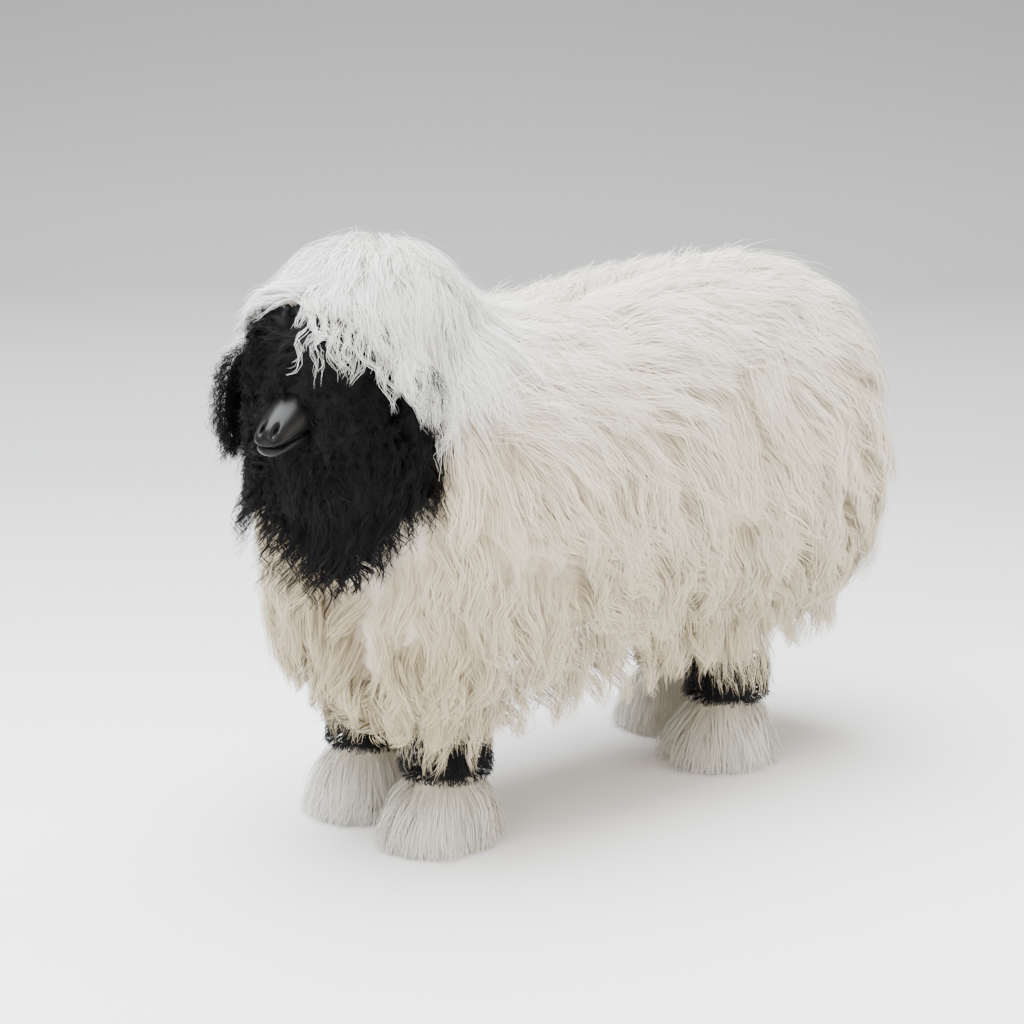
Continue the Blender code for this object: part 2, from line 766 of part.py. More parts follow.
def build_ear(name, side, outlines):
    rng = random.Random(15 + side)
    core = ear_shape(name, side, share=EAR_CORE_SHARE)
    outline = outlines[name]
    down = head_matrix().to_3x3() @ Vector((0.05, 0.1 * side, -1))
    outward = head_matrix().to_3x3() @ (LEFT * side)

    def wanted(point, normal):
        return normal.dot(outward) > -0.2 and normal.z > -0.6

    pieces = [lock(outline, root, lambda place, normal: down, 0.030, 0.0080, 0.0035,
                   EAR_RADII.y * (1 - EAR_CORE_SHARE) + 0.003, rng, flick=-0.001, wave=0.002,
                   shape=SHORT_LOCK)
              for root in outline.scatter(0.0225, 16 + side, wanted)]
    fuse(core, pieces)
    combine(core, ear_stub("stub", side), "UNION")
    keep_largest(core)
    return core


def leg_profile(grow=0.0):
    return ((CUFF_TOP + GAP, LEG_RADIUS + grow, LEG_RADIUS + grow, 0),
            (LEG_TOP, LEG_RADIUS + grow, LEG_RADIUS + grow, 0))


def around(count, start=0.0):
    """Evenly spaced directions in the floor plane."""
    for k in range(count):
        a = 2 * math.pi * (k + start) / count
        yield Vector((math.cos(a), math.sin(a), 0))


def build_leg(name, x, y, seed):
    """Upper leg whose shag hangs over the ankle band."""
    rng = random.Random(seed)
    core = column(name, x, y, leg_profile())
    pieces = []
    for out in around(LEG_LOCKS, rng.random()):
        top = Vector((x, y, LEG_SHAG_TOP - 0.001)) + out * (LEG_RADIUS - 0.003)
        length = LEG_SHAG_TOP - LEG_SHAG_BOTTOM + rng.uniform(-0.004, 0.003)
        pieces.append(hanging_lock(top, out, length, 0.0125, 0.0055, lean=0.022, curve=0.010))
    fuse(core, pieces)
    keep_largest(core)
    return core


def build_cuff(name, x, y, seed):
    """Ankle band of short dense curls."""
    rng = random.Random(seed)
    core = column(name, x, y, ((FOOT_TOP + GAP, CUFF_RADIUS, CUFF_RADIUS, 0),
                               (CUFF_TOP, CUFF_RADIUS, CUFF_RADIUS, 0)))
    middle = (FOOT_TOP + CUFF_TOP) / 2
    pieces = []
    for out in around(CUFF_CLUMPS, rng.random()):
        centre = Vector((x, y, middle + rng.uniform(-0.001, 0.001))) + out * (CUFF_RADIUS - 0.001)
        pieces.append(clump(centre, out, 0.0105, 0.0125, CUFF_REACH - CUFF_RADIUS))
    fuse(core, pieces)
    keep_largest(core)
    return core


def build_foot(name, x, y, seed):
    """Brush of straight hair, flared and trimmed flat at the floor."""
    rng = random.Random(seed)
    rx, ry = SOLE_RADII
    core = column(name, x, y, ((0.0, rx - 0.008, ry - 0.008, SOLE_FORWARD), (0.022, 0.029, 0.027, 0.003),
                               (FOOT_TOP, FOOT_TOP_RADIUS, FOOT_TOP_RADIUS, 0)))
    pieces = []
    for out in around(FOOT_LOCKS, rng.random()):
        top = Vector((x, y, FOOT_TOP - 0.006)) + out * (FOOT_TOP_RADIUS - 0.008)
        reach_x = rx * out.x + SOLE_FORWARD
        reach_y = ry * out.y
        end = Vector((x + reach_x, y + reach_y, 0))
        flare = (end - top).to_2d().length
        pieces.append(foot_lock(top, out, flare + rng.uniform(-0.001, 0.002)))
    fuse(core, pieces)
    keep_side(core, (Vector((x, y, -GAP / 2)), UP), 1)
    keep_largest(core)
    return core


def foot_lock(top, out, flare):
    """A strand of the foot brush that runs down and out to the floor, then through it."""
    side = UP.cross(out).normalized()
    rings = []
    for share, w, t in FOOT_STRAND:
        centre = Vector((top.x, top.y, top.z * (1 - share))) + out * (flare * share**0.85 - t)
        rings.append([centre + side * w, centre + out * t, centre - side * w])
    verts = [p for ring in rings for p in ring]
    faces = [(0, 1, 2), (9, 10, 11)]
    for i in range(3):
        for j in range(3):
            k = (j + 1) % 3
            faces.append((3 * i + j, 3 * i + k, 3 * i + 3 + k, 3 * i + 3 + j))
    return mesh_object("lock", verts, faces)


def tail_stub(name, grow=0.0):
    end = Vector((TAIL_OUTER, 0, TAIL_ROOT.z - 0.004))
    return rod(name, TAIL_ROOT + FORWARD * grow, end, TAIL_STUB_RADIUS + grow)


def build_tail(outlines):
    """Short woolly tail that lies against the rump."""
    rng = random.Random(17)
    core = tail_stub("tail")
    body = [ring_points(Vector((TAIL_OUTER, 0, z)), FORWARD, LEFT, 0.0030, half, half, 8)
            for z, half in ((0.294, 0.006), (0.275, 0.013), (0.220, 0.012), (0.185, 0.004))]
    combine(core, loft("body", body), "UNION")
    pieces = []
    for row, z in enumerate((0.286, 0.256, 0.226)):
        for step in (-1, 1) if row != 1 else (0,):
            out = Vector((-1, 0.5 * step, 0.001)).normalized()
            top = Vector((TAIL_OUTER + 0.001, 0.011 * step, z))
            pieces.append(hanging_lock(top, out, rng.uniform(0.062, 0.072), 0.0110, 0.0052,
                                       splay=0.008 * step))
    fuse(core, pieces)
    torso = torso_shape("cutter", CLEAR)
    cut(torso, rod("hole", TAIL_ROOT + FORWARD * 0.01, Vector((-0.30, 0, TAIL_ROOT.z - 0.005)),
                   TAIL_STUB_RADIUS + 0.0005))
    cut(core, torso)
    keep_largest(core)
    return core


def cut_outline(shape, plane, side):
    keep_side(shape, plane, side)
    return Outline(shape)


def finish(obj, look):
    obj.data.materials.clear()
    obj.data.materials.append(look)
    for polygon in obj.data.polygons:
        polygon.material_index = 0


def main():
    clear_scene()
    white = material("white_fleece", WHITE_WOOL, 0.85)
    black = material("black_wool", BLACK_WOOL, 0.80)
    gloss = material("black_muzzle", BLACK_GLOSS, 0.25)
    outlines = {
        "torso": Outline(torso_shape("outline")),
        "neck": Outline(neck_shape("outline")),
        "crown": Outline(crown_shape("outline")),
        "face_whole": Outline(face_shape("outline")),
        "face": cut_outline(face_shape("outline"), brow_plane(), -1),
        "ear_left": Outline(ear_shape("outline", 1)),
        "ear_right": Outline(ear_shape("outline", -1)),
    }
    finish(build_torso(outlines), white)
    finish(build_neck(outlines), white)
    finish(build_crown(outlines), white)
    finish(build_head(outlines), black)
    finish(build_muzzle(), gloss)
    finish(build_ear("ear_left", 1, outlines), black)
    finish(build_ear("ear_right", -1, outlines), black)
    finish(build_tail(outlines), white)
    seed = 30
    for label, (x, y) in LEG_PLACES.items():
        finish(build_leg(f"leg_{label}", x, y, seed), white)
        finish(build_cuff(f"cuff_{label}", x, y, seed + 1), black)
        finish(build_foot(f"foot_{label}", x, y, seed + 2), white)
        seed += 3


main()
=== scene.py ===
"""Looks of the decorative fleece-covered sheep: skin, coat, muzzle, finishes, light and camera.

Metres, +Z up, +X towards the head, +Y to the figure's left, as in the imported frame.

The coat is made of tufts: each is a small bundle of thin blades that start at one root on the
skin, rise to the coat's outline and follow it along the lie. Tufts gather into wavy locks.
"""

import math

import bmesh
import bpy
import numpy as np
from mathutils import Matrix, Vector
from mathutils.bvhtree import BVHTree

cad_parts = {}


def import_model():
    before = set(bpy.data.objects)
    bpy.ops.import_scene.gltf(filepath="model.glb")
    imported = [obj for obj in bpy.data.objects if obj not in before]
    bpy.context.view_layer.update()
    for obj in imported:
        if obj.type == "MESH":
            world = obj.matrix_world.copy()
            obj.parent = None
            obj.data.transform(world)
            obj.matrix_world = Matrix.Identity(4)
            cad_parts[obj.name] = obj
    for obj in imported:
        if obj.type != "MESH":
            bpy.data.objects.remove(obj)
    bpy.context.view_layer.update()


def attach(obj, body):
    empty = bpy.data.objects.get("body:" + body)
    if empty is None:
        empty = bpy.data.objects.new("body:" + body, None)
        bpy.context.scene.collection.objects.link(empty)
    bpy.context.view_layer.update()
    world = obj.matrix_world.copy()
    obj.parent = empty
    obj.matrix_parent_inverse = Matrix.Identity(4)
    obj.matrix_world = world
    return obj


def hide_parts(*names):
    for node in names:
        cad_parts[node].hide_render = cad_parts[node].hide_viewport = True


UP = Vector((0, 0, 1))
LEFT = Vector((0, 1, 0))
FORWARD = Vector((1, 0, 0))

# Body outline out to the coat's tips, rump to chest: place along X, top, bottom, half width
BODY_STATIONS = (
    (-0.266, 0.258, 0.190, 0.020),
    (-0.258, 0.300, 0.120, 0.060),
    (-0.234, 0.338, 0.090, 0.094),
    (-0.178, 0.360, 0.082, 0.113),
    (-0.100, 0.360, 0.089, 0.119),
    (-0.015, 0.353, 0.087, 0.119),
    (0.060, 0.346, 0.076, 0.118),
    (0.125, 0.333, 0.070, 0.115),
    (0.165, 0.314, 0.071, 0.109),
    (0.190, 0.290, 0.082, 0.097),
    (0.203, 0.262, 0.105, 0.074),
    (0.208, 0.230, 0.150, 0.030),
)
# Belly of the skin: how much higher it lies than the coat's lower edge
BELLY_LIFT = 0.020
TAIL_CENTRE = Vector((-0.258, 0, 0.235))
TAIL_RADII = Vector((0.013, 0.028, 0.056))
TAIL_CORE_CENTRE = Vector((-0.2500, 0, 0.235))
TAIL_CORE_RADII = Vector((0.010, 0.020, 0.052))

# Neck and crown as ellipsoids; the crown and all that follows it use the head's axes
NECK_CENTRE = Vector((0.118, -0.004, 0.262))
NECK_RADII = Vector((0.094, 0.110, 0.094))
HEAD_CENTRE = Vector((0.1875, 0.005, 0.313))
HEAD_YAW = math.radians(25)
HEAD = Matrix.Translation(HEAD_CENTRE) @ Matrix.Rotation(HEAD_YAW, 4, "Z")
CROWN_CENTRE = Vector((-0.030, 0.005, 0.011))
CROWN_RADII = Vector((0.088, 0.073, 0.080))
NAPE_CENTRE = Vector((-0.080, 0, 0.000))
NAPE_RADII = Vector((0.060, 0.085, 0.060))
BROW_POINT = Vector((0.053, 0, 0.048))
BROW_NORMAL = Vector((-0.772, 0, 0.636)).normalized()
# How far the black reaches over the brow plane on the far side, and where the crown's hair starts
BROW_RISE = 0.010
WHORL = Vector((-0.055, 0, 0.100))

# Face and beard outline: height, middle, half depth, half width, shift to the left
FACE_STATIONS = (
    (0.062, 0.024, 0.020, 0.026, 0.000),
    (0.050, 0.020, 0.035, 0.044, 0.000),
    (0.025, 0.018, 0.050, 0.055, 0.001),
    (-0.005, 0.017, 0.056, 0.060, 0.004),
    (-0.040, 0.016, 0.053, 0.067, 0.010),
    (-0.068, 0.019, 0.047, 0.063, 0.009),
    (-0.090, 0.024, 0.037, 0.040, 0.011),
    (-0.107, 0.028, 0.025, 0.022, 0.013),
    (-0.117, 0.030, 0.010, 0.010, 0.014),
)
# Lower edge of the beard in the head's axes: place to the figure's left, height
BEARD_EDGE = ((-0.060, -0.082), (-0.054, -0.085), (-0.034, -0.077), (-0.024, -0.091), (-0.015, -0.100),
              (0.000, -0.112), (0.014, -0.116), (0.027, -0.111), (0.038, -0.099), (0.047, -0.092),
              (0.057, -0.080), (0.065, -0.070), (0.076, -0.064))
EAR_CENTRE = Vector((0.017, 0.0655, -0.012))
EAR_RADII = Vector((0.025, 0.0120, 0.037))
EAR_LEAN = math.radians(7)
EAR_CORE_RADII = Vector((EAR_RADII.x * 0.72, 0.0045, EAR_RADII.z * 0.80))
EAR_ROOT_CENTRE = Vector((0.014, 0.052, -0.004))
EAR_ROOT_RADII = Vector((0.012, 0.020, 0.010))

# Muzzle and lower lip, in the head's axes: forward, middle, half width, height above, height below
MUZZLE_STATIONS = (
    (0.034, -0.0120, 0.0225, 0.0290, 0.0100),
    (0.056, -0.0135, 0.0190, 0.0200, 0.0080),
    (0.070, -0.0158, 0.0163, 0.0158, 0.0060),
    (0.081, -0.0188, 0.0138, 0.0125, 0.0045),
    (0.0890, -0.0212, 0.0116, 0.0098, 0.0034),
    (0.0940, -0.0228, 0.0092, 0.0072, 0.0026),
    (0.0967, -0.0240, 0.0054, 0.0038, 0.0015),
)
LIP_STATIONS = (
    (0.040, -0.0212, 0.0190, 0.0050, 0.0118),
    (0.066, -0.0223, 0.0158, 0.0042, 0.0103),
    (0.080, -0.0246, 0.0133, 0.0030, 0.0084),
    (0.0880, -0.0265, 0.0109, 0.0022, 0.0066),
    (0.0920, -0.0276, 0.0082, 0.0016, 0.0048),
    (0.0940, -0.0284, 0.0042, 0.0010, 0.0026),
)
NOSTRIL = Vector((0.0925, 0.0046, -0.0152))
NOSTRIL_RADII = Vector((0.0042, 0.0013, 0.0038))
NOSTRIL_DEPTH = 0.0042
NOSTRIL_INWARD = Vector((-0.8, 0, -0.6))

# Legs, ankle bands and feet; the rear right leg is set back
LEG_PLACES = {
    "front_left": (0.134, 0.042),
    "front_right": (0.134, -0.042),
    "rear_left": (-0.125, 0.042),
    "rear_right": (-0.153, -0.042),
}
CUFF_SPAN = (0.046, 0.0752)
CUFF_REACH = 0.0305
FOOT_TOP_RADIUS = 0.025
SOLE_RADII = (0.042, 0.037)
SOLE_FORWARD = 0.006
SHAG_SPAN = (0.082, 0.124)
SHAG_END = 0.057

# Depth of the coat over the skin
BODY_DEPTH = 0.017
NECK_DEPTH = 0.019
CROWN_DEPTH = 0.014
FACE_DEPTH = 0.007
EAR_DEPTH = 0.0045

# Size of one tuft's patch on the coat's colour map
PATCH = 0.003

# Most triangles in one piece of a coat
PIECE_LIMIT = 190000

# How unevenly strands end at the hem and on the floor, and the share taken off what hangs below the hem
HEM_RAGGED = 0.008
HEM_SHORTENING = 0.65
FLOOR_RAGGED = 0.0008
# How far the coat's shading turns upwards
UPWARD_SHADE = 0.12
# Range of random phases
FULL_TURN = 6.28

# Painted shade and painted warm bounce light on the white fleece, by height (darker and warmer lower
# down) and by place from rump to chest (darker at the chest)
FLEECE_PAINTED_SHADE = (
    (0.06, (0.76, 0.69, 0.55)),
    (0.14, (0.77, 0.70, 0.55)),
    (0.22, (0.95, 0.90, 0.79)),
    (0.30, (0.98, 0.955, 0.90)),
    (0.35, (0.91, 0.90, 0.87)),
)
CHEST_PAINTED_SHADE = ((-0.25, (1.0, 1.0, 1.0)), (0.12, (0.99, 0.98, 0.97)), (0.18, (0.90, 0.88, 0.82)))

# Camera as in the photo: its direction from the figure, its distance, what it looks at, and its lens
CAMERA_AZIMUTH = math.radians(50.1)
CAMERA_HEIGHT = math.radians(14.0)
CAMERA_REACH = 1.8
CAMERA_TARGET = Vector((0.042, 0.0003, 0.201))
CAMERA_SENSOR = 36
CAMERA_LENS = 2639 / 1024 * CAMERA_SENSOR

# Floor that runs back from the camera and curves up into a backdrop
FLOOR_NEAR = -3.0
FLOOR_HALF = 4.0
BACKDROP_FOOT = 2.2
BACKDROP_BEND = 0.8
BACKDROP_TOP = 4.0
# Painted falloff of light on the floor and backdrop, darker with distance behind the figure, and a
# slightly cool tint that offsets the warm fill light
FLOOR_PAINTED_FALLOFF = (
    (-0.10, 0.93), (0.20, 0.80), (0.42, 0.645), (0.95, 0.45), (2.30, 0.395), (2.55, 0.36), (2.92, 0.240),
)
FLOOR_TINT = (0.98, 0.995, 1.028)
COOL_LIGHT = (0.93, 0.97, 1.0)
WARM_LIGHT = (1.0, 0.96, 0.88)


# Smooth forms

def catmull(points, count):
    """Rows of numbers on a smooth curve through the given rows."""
    rows = np.array(points, float)
    rows = np.vstack([2 * rows[0] - rows[1], rows, 2 * rows[-1] - rows[-2]])
    made = []
    for t in np.linspace(0, len(rows) - 3, count):
        i = min(int(t), len(rows) - 4)
        f = t - i
        a, b, c, d = rows[i : i + 4]
        made.append(0.5 * (2 * b + (c - a) * f + (2 * a - 5 * b + 4 * c - d) * f**2
                           + (3 * b - a - 3 * c + d) * f**3))
    return made


def linked(name, data):
    """A new object in the scene."""
    obj = bpy.data.objects.new(name, data)
    bpy.context.scene.collection.objects.link(obj)
    return obj


def finished(obj, material):
    """The object with smooth shading and its material."""
    obj.data.polygons.foreach_set("use_smooth", np.ones(len(obj.data.polygons), bool))
    obj.data.materials.append(material)
    return obj


def mesh_object(name, verts, faces):
    """An object with all its faces turned outwards."""
    mesh = bpy.data.meshes.new(name)
    mesh.from_pydata([tuple(v) for v in verts], [], faces)
    bm = bmesh.new()
    bm.from_mesh(mesh)
    bmesh.ops.recalc_face_normals(bm, faces=bm.faces)
    bm.to_mesh(mesh)
    bm.free()
    return linked(name, mesh)


def loft(name, rings):
    """A closed surface through rings of equal size, with a fan at each end."""
    sides = len(rings[0])
    verts = [p for ring in rings for p in ring]
    faces = []
    for i in range(len(rings) - 1):
        for j in range(sides):
            k = (j + 1) % sides
            faces.append((i * sides + j, i * sides + k, (i + 1) * sides + k, (i + 1) * sides + j))
    for first, ring in ((0, rings[0]), ((len(rings) - 1) * sides, rings[-1])):
        verts.append(sum(ring, Vector()) / sides)
        hub = len(verts) - 1
        for j in range(sides):
            faces.append((first + j, first + (j + 1) % sides, hub))
    return mesh_object(name, verts, faces)


def ring_points(centre, across, up, half_across, half_up, half_down, sides=48, power=2.0):
    """A closed ring that is an ellipse at power 2 and nearer a box above it."""
    made = []
    for j in range(sides):
        a = 2 * math.pi * j / sides
        c, s = math.cos(a), math.sin(a)
        x = math.copysign(abs(c) ** (2 / power), c) * half_across
        y = math.copysign(abs(s) ** (2 / power), s) * (half_up if s >= 0 else half_down)
        made.append(centre + across * x + up * y)
    return made


def ellipsoid(name, matrix, centre, radii, sides=40, rows=25):
    """An ellipsoid in the axes of the matrix, as rings along X."""
    rings = []
    for i in range(1, rows):
        a = math.pi * i / rows
        reach = math.sin(a)
        ring = ring_points(centre - FORWARD * (math.cos(a) * radii[0]), LEFT, UP,
                           reach * radii[1], reach * radii[2], reach * radii[2], sides)
        rings.append([matrix @ p for p in ring])
    return loft(name, rings)


def column(name, x, y, profile, sides=32):
    """An upright body; profile rows are height, radius along X, radius along Y, shift along X."""
    rings = [ring_points(Vector((x + shift, y, z)), FORWARD, LEFT, rx, ry, ry, sides)
             for z, rx, ry, shift in profile]
    return loft(name, rings)


def body_form(grow=0.0, lift=0.0):
    """The body, grown or shrunk all round, with its belly lifted."""
    rings = []
    inset = max(-grow, 0) * 0.9
    rear, front = BODY_STATIONS[0][0] + inset, BODY_STATIONS[-1][0] - inset
    for x, top, bottom, half in catmull(BODY_STATIONS, 46):
        if inset and not rear < x < front:
            continue
        middle = bottom + (top - bottom) * 0.52
        halves = (half + grow, top - middle + grow, middle - bottom + grow - lift)
        halves = [max(size, 0.01) for size in halves]
        rings.append(ring_points(Vector((x, 0, middle)), LEFT, UP, *halves, power=2.3))
    return loft("form", rings)


def grown(radii, grow):
    return radii + Vector((grow, grow, grow))


def face_form(grow=0.0):
    """The face and beard, grown or shrunk all round."""
    rings = []
    rows = catmull(FACE_STATIONS, 36)
    for i, (z, middle, depth, width, shift) in enumerate(rows):
        lift = grow * (1 - 2 * i / (len(rows) - 1))
        half_width = max(width + grow, 0.003)
        ring = ring_points(Vector((middle, shift, z + lift)), FORWARD, LEFT, max(depth + grow, 0.003),
                           half_width, half_width)
        rings.append([HEAD @ p for p in ring])
    return loft("form", rings)


def ear_matrix(side):
    """Axes of the ear on one side; side is 1 for the left."""
    centre = Vector((EAR_CENTRE.x, EAR_CENTRE.y * side, EAR_CENTRE.z))
    return HEAD @ Matrix.Translation(centre) @ Matrix.Rotation(EAR_LEAN * side, 4, "X")


def merged(name, forms, voxel, smooth):
    """One smooth closed mesh that wraps all the forms; they are removed."""
    bm = bmesh.new()
    for form in forms:
        bm.from_mesh(form.data)
        bpy.data.objects.remove(form, do_unlink=True)
    mesh = bpy.data.meshes.new(name)
    bm.to_mesh(mesh)
    bm.free()
    obj = linked(name, mesh)
    remesh = obj.modifiers.new("remesh", "REMESH")
    remesh.mode = "VOXEL"
    remesh.voxel_size = voxel
    soften = obj.modifiers.new("soften", "SMOOTH")
    soften.factor = 0.5
    soften.iterations = smooth
    graph = bpy.context.evaluated_depsgraph_get()
    made = bpy.data.meshes.new_from_object(obj.evaluated_get(graph))
    obj.modifiers.clear()
    obj.data = made
    return obj


class Surface:
    """A mesh as a tree for nearest points and triangles for roots; its object is removed."""

    def __init__(self, obj):
        obj.data.calc_loop_triangles()
        verts = [tuple(v.co) for v in obj.data.vertices]
        faces = [tuple(t.vertices) for t in obj.data.loop_triangles]
        self.tree = BVHTree.FromPolygons(verts, faces)
        self.corners = np.array(verts)[np.array(faces)]
        edges = self.corners[:, 1:] - self.corners[:, :1]
        cross = np.cross(edges[:, 0], edges[:, 1])
        self.areas = np.linalg.norm(cross, axis=1) / 2
        bpy.data.objects.remove(obj, do_unlink=True)

    def project(self, points):
        """Nearest points of the surface and its outward normals there."""
        places = np.empty_like(points)
        normals = np.empty_like(points)
        for i, p in enumerate(points):
            place, normal, _, _ = self.tree.find_nearest(p)
            places[i] = place
            normals[i] = normal
        return places, normals

    def inside(self, points, margin=0.0):
        """True for points deeper than margin under the surface."""
        places, normals = self.project(points)
        return ((points - places) * normals).sum(1) < -margin

    def random_points(self, count, rng):
        """Points spread evenly over the surface."""
        chosen = rng.choice(len(self.areas), count, p=self.areas / self.areas.sum())
        a, b, c = self.corners[chosen].transpose(1, 0, 2)
        u, v = rng.random((2, count, 1))
        over = u + v > 1
        u, v = np.where(over, 1 - u, u), np.where(over, 1 - v, v)
        return a + u * (b - a) + v * (c - a)

    def scatter(self, spacing, rng, wanted=None, oversample=6):
        """Points no closer than spacing to one another, found cell by cell."""
        count = int(self.areas.sum() / spacing**2 * oversample)
        points = self.random_points(count, rng)
        if wanted is not None:
            points = points[wanted(points)]
        kept, cells = [], {}
        for p in points:
            key = tuple(np.floor(p / spacing).astype(int))
            near = [q for dx in (-1, 0, 1) for dy in (-1, 0, 1) for dz in (-1, 0, 1)
                    for q in cells.get((key[0] + dx, key[1] + dy, key[2] + dz), ())]
            if all(np.dot(p - q, p - q) > spacing * spacing for q in near):
                kept.append(p)
                cells.setdefault(key, []).append(p)
        return np.array(kept)


# Coat

def unit(v):
    return v / np.maximum(np.linalg.norm(v, axis=-1, keepdims=True), 1e-9)


def turned(v, axis, angle):
    """Vectors turned about unit axes by angles."""
    c, s = np.cos(angle)[:, None], np.sin(angle)[:, None]
    return v * c + np.cross(axis, v) * s + axis * (axis * v).sum(1, keepdims=True) * (1 - c)


def trace(outline, roots, lengths, lie, rings, turn, fall_below):
    """Paths along an outline from the roots: places, normals and sides, each (count, rings, 3).

    A path that comes to a steep place facing down, below fall_below, leaves the outline and hangs.
    """
    count = len(roots)
    place, normal = outline.project(roots)
    falling = np.zeros(count, bool)
    places, normals, sides = [], [], []
    stride = (lengths / (rings - 1))[:, None]
    for _ in range(rings):
        way = unit(lie(place, normal))
        flat = unit(way - normal * (way * normal).sum(1, keepdims=True))
        way = np.where(falling[:, None], way, turned(flat, normal, turn))
        side = unit(np.cross(way, normal))
        places.append(place)
        normals.append(normal)
        sides.append(side)
        falling |= (normal[:, 2] < fall_below) & (way[:, 2] < -0.2)
        drop = unit(np.column_stack([way[:, 0] * 0.15, way[:, 1] * 0.15, -np.ones(count)]))
        step = place + np.where(falling[:, None], drop, way) * stride
        ground, ground_normal = outline.project(step)
        level = normal * (1, 1, 0) + (0, 0, 0.001)
        place = np.where(falling[:, None], step, ground)
        normal = np.where(falling[:, None], unit(level), ground_normal)
    return [np.stack(a, axis=1) for a in (places, normals, sides)]


def nearest_index(points, centres):
    """Index of the nearest centre to each point."""
    made = np.empty(len(points), int)
    for start in range(0, len(points), 2000):
        part = points[start : start + 2000]
        gaps = ((part[:, None] - centres[None]) ** 2).sum(2)
        made[start : start + 2000] = gaps.argmin(1)
    return made


class Coat:
    """What one kind of hair looks like: lengths in metres, turns in radians, the rest shares."""

    # points along a strand, strands of a tuft, half the width of a strand, share that stands loose
    rings = 8
    strands = 10
    half_width = 0.00020
    loose = 0.12
    # distances between locks and between tufts, radius of a tuft
    lock_spacing = 0.020
    tuft_spacing = 0.0060
    spread = 0.0038
    # length, and the way from the skin out to the outline
    length = 0.07
    length_vary = 0.18
    depth = BODY_DEPTH
    rise = 0.45
    lift = 0.0
    lift_vary = 0.002
    sink = 0.0035
    # how tufts close up into locks and strands into tips
    gather = 0.55
    clump = 0.40
    clump_power = 1.1
    # how locks and tufts turn off the lie
    turn = 0.22
    tuft_turn = 0.10
    # waves of a lock, of a strand, and ringlets
    wave = 0.0030
    wave_length = 0.035
    fine_wave = 0.0006
    curl = 0.0
    curl_length = 0.010
    curl_vary = 3.1
    # width of the tip, height of the hem, where strands begin to fall, and how light breaks up
    tip = 0.25
    hem = None
    fall_below = -0.72
    lean = 0.08
    round = 0.16

    def __init__(self, **given):
        self.__dict__.update(given)


